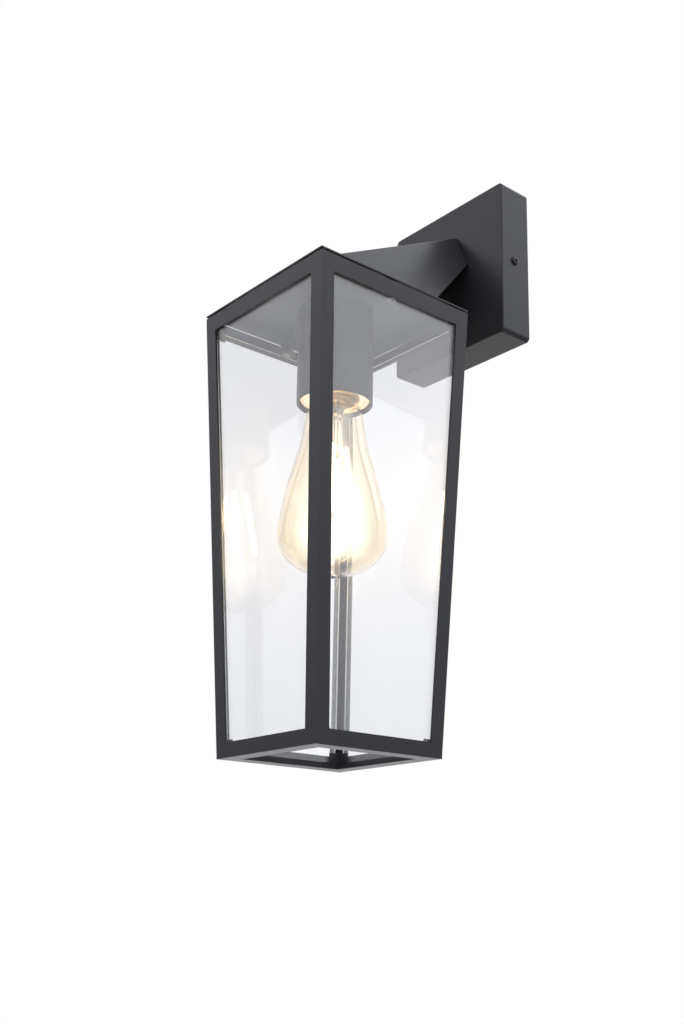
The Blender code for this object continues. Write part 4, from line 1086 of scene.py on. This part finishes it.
def make_screws():
    """Every screw, each with its head on the side that it is driven from."""
    shank_radius = 0.0018
    # node, head radius and height, the turn that faces the head outwards, finish, slot
    screws = (
        ("side_screw_right", 0.0028, 0.0016, (90.0, "Y"), "blackened_steel", "black_screw"),
        ("side_screw_left", 0.0028, 0.0016, (-90.0, "Y"), "blackened_steel", "black_screw"),
        ("neck_screw_right", 0.0036, 0.0022, (-90.0, "X"), "zinc_plated", "zinc_plate"),
        ("neck_screw_left", 0.0036, 0.0022, (-90.0, "X"), "zinc_plated", "zinc_plate"),
        ("cage_screw_right", 0.0029, 0.0022, (180.0, "X"), "zinc_plated", "zinc_plate"),
        ("cage_screw_left", 0.0029, 0.0022, (180.0, "X"), "zinc_plated", "zinc_plate"),
        ("ground_screw", 0.0036, 0.0022, (90.0, "X"), "earth_screw_green", "green_screw"),
    )
    for node, head_radius, head_height, (degrees, axis), material, slot in screws:
        facing = Matrix.Rotation(math.radians(degrees), 4, axis)
        low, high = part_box(node)
        way = facing @ Vector((0, 0, 1))
        span = abs((high - low).dot(way))
        screw = screw_piece(
            f"{node}_turned", head_radius, head_height, shank_radius, span - head_height
        )
        seat = (low + high) / 2 + way * (span / 2 - head_height)
        screw.matrix_world = Matrix.Translation(seat) @ facing
        hand_over(screw, material, slot, node)


# Lamp holder


def make_lamp_holder():
    """Cup, holder, its threaded shell, and the nipple that they hang from."""
    sizes = bpy.context.scene.lantern_sizes
    foot, head, radius = CUP[0].z, CUP[1].z, CUP[1].x
    inner, ceiling = radius - sizes.sheet, head - sizes.sheet
    hole = NIPPLE_RADIUS + GAP
    points = [
        (hole, head), (radius, head), (radius, foot), (inner, foot), (inner, ceiling),
        (hole, ceiling),
    ]
    points = rounded(points, 3, sizes.sheet * 0.35, 3)
    points = rounded(points, 2, sizes.sheet * 0.55)
    points = rounded(points, 1, sizes.cup_edge)
    cup = turned("cup_shell", points, closed=True)
    hand_over(cup, "cup_paint_coat", "graphite_paint", "socket_cup")

    foot, head, radius = HOLDER[0].z, HOLDER[1].z, HOLDER[1].x
    shell_foot, shell_head, shell_radius = SCREW_SHELL[0].z, SCREW_SHELL[1].z, SCREW_SHELL[1].x
    bore, ceiling = shell_radius + GAP, shell_head + GAP * 2
    points = [
        (0.0, head), (radius, head), (radius, foot), (bore + 0.0030, foot),
        (bore + 0.0026, foot + 0.0010), (bore + 0.0008, foot + 0.0010), (bore, foot + 0.0018),
        (bore, ceiling), (0.0, ceiling),
    ]
    points = rounded(points, 3, 0.0003, 3)
    points = rounded(points, 2, 0.0012)
    points = rounded(points, 1, 0.0012)
    holder = turned("holder_moulding", points)
    hand_over(holder, "cream_moulding", "holder_cream", "socket_body")

    shell = rolled_thread(
        "holder_thread", shell_radius - 0.0001, 0.0004, sizes.thread_pitch, shell_foot,
        shell_head, 0.0003,
    )
    hand_over(shell, "rolled_brass", "socket_brass", "socket_screw_shell")
    refine(
        "centre_contact_tongue", "contact_tongue", 0.00015, "rolled_brass", "socket_brass"
    )
    nipple = rolled_thread(
        "nipple_thread", NIPPLE[1].x, 0.0005, 0.00094, NIPPLE[0].z, NIPPLE[1].z, 0.0008
    )
    hand_over(nipple, "zinc_plated", "zinc_plate", "threaded_nipple")
    refine("socket_hub", "holder_hub", 0.0002, "zinc_plated", "zinc_plate")
    refine("nipple_locknut", "locknut_hexagon", 0.0002, "zinc_plated", "zinc_plate")


# Bulb


def bulb_outline():
    """Radius and height of the bulb's outer surface, from its mouth down to its tip."""
    tip, mouth = BULB[0].z, BULB[1].z
    widest_radius, widest, nub = BULB[1].x, 0.0245, 0.0016
    # radius, height above the tip
    shoulder = (
        (0.0123, 0.1125), (0.0133, 0.1090), (0.0156, 0.1045), (0.0171, 0.0990), (0.0181, 0.0915),
        (0.0206, 0.0790), (0.0257, 0.0615), (0.0295, 0.0460), (0.0315, 0.0340),
        (widest_radius, widest),
    )
    seal = ((0.0021, 0.0017), (0.0017, 0.0012), (0.0011, 0.0004), (0.0, 0.0))
    line = smooth_line([(0.0122, mouth)] + [(radius, tip + rise) for radius, rise in shoulder])
    arc_steps, arc_end, taper = 16, 84.5, 1.08
    for step in range(1, arc_steps + 1):
        angle = math.radians(arc_end * step / arc_steps)
        line.append((
            widest_radius * math.cos(angle) ** taper,
            tip + widest - (widest - nub) * math.sin(angle),
        ))
    return line + [(radius, tip + rise) for radius, rise in seal]


def make_bulb_glass():
    """The pear-shaped glass, with an inner and an outer surface and its sealed tip."""
    wall = bpy.context.scene.lantern_sizes.bulb_wall
    outer = bulb_outline()
    inner = []
    for before, point, after in zip(outer, outer[1:], outer[2:]):
        along = (Vector(after) - Vector(before)).normalized()
        inner.append((point[0] + along.y * wall, point[1] - along.x * wall))
    tip, seal_radius, seal_height, hollow_foot = BULB[0].z, 0.0022, 0.002, 0.0026
    inner = [point for point in inner if point[0] > seal_radius and point[1] > tip + seal_height]
    inner = [(outer[0][0] - wall, outer[0][1])] + inner + [(0.0, tip + hollow_foot)]
    glass = turned("bulb_envelope", list(reversed(inner)) + outer, crease=60.0)
    hand_over(glass, "amber_bulb_glass", "amber_glass", "bulb_glass", body="bulb")


def make_bulb_cap():
    """The cap with its rolled thread, its insulator and the centre contact."""
    sizes = bpy.context.scene.lantern_sizes
    low, high = CAP[0].z, CAP[1].z
    radius = CAP[1].x
    insulator_low, insulator_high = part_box("bulb_cap_insulator")
    wide = insulator_high.x
    cap = rolled_thread(
        "cap_thread", radius, 0.0009, sizes.thread_pitch, low + 0.0035, high - 0.0018, 0.00035
    )
    skirt = turned("skirt", [
        (radius - 0.0007, low + 0.0036), (radius - 0.0002, low + 0.0028), (radius, low + 0.0018),
        (radius, low), (radius - 0.0004, low), (radius - 0.0004, low + 0.0018),
        (radius - 0.0011, low + 0.0036),
    ], closed=True)
    crown = turned("crown", [
        (wide, high), (radius - 0.0030, high), (radius - 0.0013, high - 0.0008),
        (radius - 0.0007, high - 0.0019), (radius - 0.0011, high - 0.0019),
        (radius - 0.0016, high - 0.0011), (radius - 0.0031, high - 0.0004), (wide, high - 0.0004),
    ], closed=True)
    join_pieces(cap, skirt, crown)
    hand_over(cap, "rolled_brass", "cap_brass", "bulb_cap_shell", body="bulb")

    low, high = insulator_low.z, insulator_high.z
    insulator = turned("cap_insulator_glass", [
        (0.0, high), (0.0050, high), (0.0056, high - 0.0003), (wide, low + 0.0004),
        (wide - 0.0003, low), (0.0, low),
    ])
    hand_over(insulator, "black_insulator", "insulator_black", "bulb_cap_insulator", body="bulb")
    low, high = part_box("bulb_centre_contact")
    button = turned("contact_button", [
        (0.0, high.z), (high.x * 0.35, high.z - 0.0001), (high.x * 0.7, high.z - 0.0005),
        (high.x * 0.95, high.z - 0.0010), (high.x, low.z), (0.0, low.z),
    ], steps=40)
    hand_over(button, "zinc_plated", "cap_brass", "bulb_centre_contact", body="bulb_seat")


def make_filament(node, top, foot, radius):
    """A glowing rod with rounded ends, leaning from its foot to its top."""
    along = top - foot
    length = along.length
    end = ((1.0, 1.0), (0.87, 0.45), (0.5, 0.10), (0.0, 0.0))
    filament = turned(
        f"{node}_glowing",
        [(radius * out, length - radius * back) for out, back in reversed(end)]
        + [(radius * out, radius * back) for out, back in end],
        centre=(0.0, 0.0), steps=20, crease=60.0,
    )
    filament.matrix_world = stood(foot, along)
    hand_over(filament, "hot_filament", "filament_glow", node, body="bulb")


def make_bulb_mount():
    """The glass stem, its lead-in and support wires, and the four filaments."""
    sizes = bpy.context.scene.lantern_sizes
    low, high = STEM[0].z, STEM[1].z
    flare = STEM[1].x
    stem = turned("stem_press", smooth_line([
        (flare, high - 0.0006), (flare * 0.80, high - 0.0028), (flare * 0.50, high - 0.0075),
        (flare * 0.36, high - 0.0130), (flare * 0.33, low + 0.0100), (flare * 0.36, low + 0.0050),
        (flare * 0.26, low + 0.0012),
    ]) + [(0.0, low), (0.0, high - 0.0006)], crease=50.0, steps=48)
    hand_over(stem, "stem_glass_clear", "stem_glass", "bulb_stem", body="bulb")

    anchor = Vector((*CENTRE, low + 0.0002))
    foot_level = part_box("filament_1")[0].z
    hook = Vector((*CENTRE, foot_level - 0.0020))
    waist = anchor.lerp(Vector((*CENTRE, foot_level)), 0.5)
    wires = [wire("centre_support", [anchor, waist, hook], sizes.wire_radius)]
    radius = sizes.filament_radius
    for index in range(4):
        node = f"filament_{index + 1}"
        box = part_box(node)
        signs = [1 if mid(box, axis) > AXIS[axis] else -1 for axis in (X, Y)]
        reach = [sorted(abs(end[axis] - AXIS[axis]) for end in box) for axis in (X, Y)]
        inner = [AXIS[axis] + signs[axis] * (reach[axis][0] + radius) for axis in (X, Y)]
        outer = [AXIS[axis] + signs[axis] * (reach[axis][1] - radius) for axis in (X, Y)]
        top = Vector((*inner, box[1].z - radius * 0.3))
        foot = Vector((*outer, box[0].z + radius * 0.3))
        make_filament(node, top, foot, radius)
        side = Vector((*signs, 0.0)).normalized()
        wires.append(wire("upper_support", [
            anchor + side * 0.0012 + Vector((0, 0, 0.0040)),
            anchor + side * 0.0035 + Vector((0, 0, 0.0010)),
            top + Vector((0, 0, 0.0022)), top + Vector((0, 0, 0.0004)),
        ], sizes.wire_radius))
        wires.append(wire("lower_support", [
            hook, hook + side * 0.0050 - Vector((0, 0, 0.0015)),
            foot - Vector((0, 0, 0.0026)), foot - Vector((0, 0, 0.0002)),
        ], sizes.wire_radius))
    # distance from the axis, height
    lead_in = ((0.0016, high - 0.0020), (0.0018, low + 0.0160), (0.0012, low + 0.0030))
    for side in (-1, 1):
        wires.append(wire("lead_in", [
            (AXIS.x + side * out, AXIS.y, height) for out, height in lead_in
        ], sizes.wire_radius * 1.5))
    mount = join_pieces(*wires)
    mount.name = mount.data.name = "filament_supports"
    hand_over(mount, "support_wire", "cap_brass", body="bulb")


# Stage


def make_floor():
    half_size, drop = 3.6, 0.62
    clear_selection()
    bpy.ops.mesh.primitive_plane_add(
        size=2 * half_size, location=(0.0, 0.0, CAD_BOX[0][Z] - drop)
    )
    floor = named("studio_floor")
    with editing(floor):
        bpy.ops.mesh.subdivide(number_cuts=7)
    bpy.ops.object.transform_apply(location=True, rotation=True, scale=True)
    floor.data.materials.append(finish("studio_floor"))


def add_softbox(name, place, target, width, height, power):
    """A large rectangular lamp aimed at a point."""
    data = bpy.data.lights.new(name, "AREA")
    data.shape = "RECTANGLE"
    data.size = width
    data.size_y = height
    data.energy = power
    lamp = bpy.data.objects.new(name, data)
    lamp.location = place
    lamp.rotation_euler = (Vector(target) - Vector(place)).to_track_quat("-Z", "Y").to_euler()
    bpy.context.scene.collection.objects.link(lamp)
    lamp.visible_camera = False


def make_world():
    """White beyond the lantern. The room that it faces is dim near the floor and bright above."""
    world = bpy.data.worlds.new("white_studio")
    bpy.context.scene.world = world
    world.use_nodes = True
    tree = world.node_tree
    way = tree.nodes.new("ShaderNodeTexCoord").outputs["Generated"]
    # how far a direction points past the lantern from the room, and to the room's right
    beyond, right = (
        add_node(
            tree, "ShaderNodeVectorMath", {0: way, 1: direction}, operation="DOT_PRODUCT"
        ).outputs["Value"]
        for direction in ((-0.75, 0.66, 0.0), (0.75, 0.66, 0.0))
    )
    height = add_node(tree, "ShaderNodeSeparateXYZ", {0: way}).outputs["Z"]
    room = add_node(tree, "ShaderNodeValToRGB", {"Fac": height})
    ramp = room.color_ramp
    # sine of the elevation, brightness
    levels = (
        (0.0, 0.18), (0.12, 0.24), (0.38, 0.43), (0.50, 0.62), (0.70, 0.58), (0.90, 0.40),
        (1.0, 0.29),
    )
    while len(ramp.elements) < len(levels):
        ramp.elements.new(0.5)
    for element, (place, level) in zip(ramp.elements, levels):
        element.position = place
        element.color = (level * 0.93, level * 0.95, level, 1.0)
    behind = remap(tree, beyond, -0.85, -0.45, 1.5, 0.0)
    sunny = remap(tree, right, 0.0, 0.6, 3.0, 4.9)
    bright = add_node(
        tree, "ShaderNodeVectorMath",
        {0: room.outputs["Color"], "Scale": maths(tree, "ADD", behind, sunny)}, operation="SCALE",
    ).outputs["Vector"]
    share = remap(tree, beyond, 0.45, 0.68, 0.0, 1.0)
    sky = mixed(tree, share, bright, (1.0, 1.0, 1.0, 1.0))
    feed(tree, tree.nodes["Background"], Color=sky)


def make_camera():
    """A short telephoto below and to the right of the lantern, looking up at it."""
    place = Vector((0.5571, -0.5676, -0.4217))
    heading, pitch, roll = math.radians(48.52), math.radians(13.04), math.radians(0.39)
    data = bpy.data.cameras.new("lantern_camera")
    data.sensor_width = 36.0
    data.lens = 44.32
    data.shift_x = -0.0457
    data.shift_y = 0.1168
    data.clip_start = 0.02
    camera = bpy.data.objects.new("lantern_camera", data)
    bpy.context.scene.collection.objects.link(camera)
    camera.matrix_world = (
        Matrix.Translation(place) @ Matrix.Rotation(heading, 4, "Z")
        @ Matrix.Rotation(math.radians(90.0) + pitch, 4, "X") @ Matrix.Rotation(roll, 4, "Z")
    )
    bpy.context.scene.camera = camera


def make_stage():
    make_camera()
    make_floor()
    make_world()
    middle = (0.0, AXIS.y, (FOOT + LID_TOP) / 2)
    # where it stands, what it is aimed at, width, height, watts
    add_softbox("overhead_softbox", (0.3, -0.7, 1.9), middle, 1.8, 1.8, 3.0)
    add_softbox("right_softbox", (1.7, 0.25, 0.5), middle, 1.0, 1.4, 5.0)
    add_softbox("left_softbox", (-0.9, -1.6, 0.3), middle, 0.9, 1.4, 5.0)
    add_softbox("low_softbox", (-1.0, 0.8, -0.75), (0.0, AXIS.y, FOOT), 2.0, 0.8, 3.2)
    bpy.context.scene.view_settings.view_transform = "Standard"


# Operators


class LANTERN_OT_wall_box(bpy.types.Operator):
    """Make the wall box, its bracket, its foam ring and the leads' finish"""
    bl_idname = "lantern.wall_box"
    bl_label = "Wall Box"

    def execute(self, context):
        make_wall_box()
        make_wall_fittings()
        return {"FINISHED"}


class LANTERN_OT_neck(bpy.types.Operator):
    """Make the pyramid neck between the box and the lid"""
    bl_idname = "lantern.neck"
    bl_label = "Neck"

    def execute(self, context):
        make_neck()
        return {"FINISHED"}


class LANTERN_OT_cage(bpy.types.Operator):
    """Make the lid and the painted cage frame"""
    bl_idname = "lantern.cage"
    bl_label = "Lid and Cage"

    def execute(self, context):
        make_lid()
        make_cage_frame()
        return {"FINISHED"}


class LANTERN_OT_glazing(bpy.types.Operator):
    """Make the four panes and the clips that hold them"""
    bl_idname = "lantern.glazing"
    bl_label = "Glass and Clips"

    def execute(self, context):
        make_glass()
        make_clips()
        return {"FINISHED"}


class LANTERN_OT_screws(bpy.types.Operator):
    """Make every screw"""
    bl_idname = "lantern.screws"
    bl_label = "Screws"

    def execute(self, context):
        make_screws()
        return {"FINISHED"}


class LANTERN_OT_lamp_holder(bpy.types.Operator):
    """Make the socket cup, the lamp holder and what they hang from"""
    bl_idname = "lantern.lamp_holder"
    bl_label = "Lamp Holder"

    def execute(self, context):
        make_lamp_holder()
        return {"FINISHED"}


class LANTERN_OT_bulb(bpy.types.Operator):
    """Make the filament bulb"""
    bl_idname = "lantern.bulb"
    bl_label = "Bulb"

    def execute(self, context):
        make_bulb_glass()
        make_bulb_cap()
        make_bulb_mount()
        return {"FINISHED"}


class LANTERN_OT_stage(bpy.types.Operator):
    """Set the floor, the lights and the camera"""
    bl_idname = "lantern.stage"
    bl_label = "Stage"

    def execute(self, context):
        make_stage()
        return {"FINISHED"}


class LANTERN_PT_panel(bpy.types.Panel):
    """Lists the lantern's sizes, colours and steps"""
    bl_idname = "LANTERN_PT_panel"
    bl_label = "Outdoor Wall Lantern"
    bl_space_type = "VIEW_3D"
    bl_region_type = "UI"
    bl_category = "Lantern"

    def draw(self, context):
        for group in (context.scene.lantern_sizes, context.scene.lantern_colours):
            column = self.layout.column(align=True)
            for field in group.bl_rna.properties:
                if field.identifier not in ("name", "rna_type"):
                    column.prop(group, field.identifier)
        column = self.layout.column(align=True)
        for step in STEPS:
            column.operator(step.bl_idname)


STEPS = (
    LANTERN_OT_stage, LANTERN_OT_wall_box, LANTERN_OT_neck, LANTERN_OT_cage, LANTERN_OT_glazing,
    LANTERN_OT_screws, LANTERN_OT_lamp_holder, LANTERN_OT_bulb,
)
CLASSES = (LanternSizes, LanternColours, *STEPS, LANTERN_PT_panel)


def register():
    for cls in CLASSES:
        bpy.utils.register_class(cls)
    bpy.types.Scene.lantern_sizes = PointerProperty(type=LanternSizes)
    bpy.types.Scene.lantern_colours = PointerProperty(type=LanternColours)


def unregister():
    del bpy.types.Scene.lantern_colours
    del bpy.types.Scene.lantern_sizes
    for cls in reversed(CLASSES):
        bpy.utils.unregister_class(cls)


def main():
    register()
    clear_selection()
    for step in STEPS:
        space, name = step.bl_idname.split(".")
        getattr(getattr(bpy.ops, space), name)()


if __name__ == "__main__":
    main()
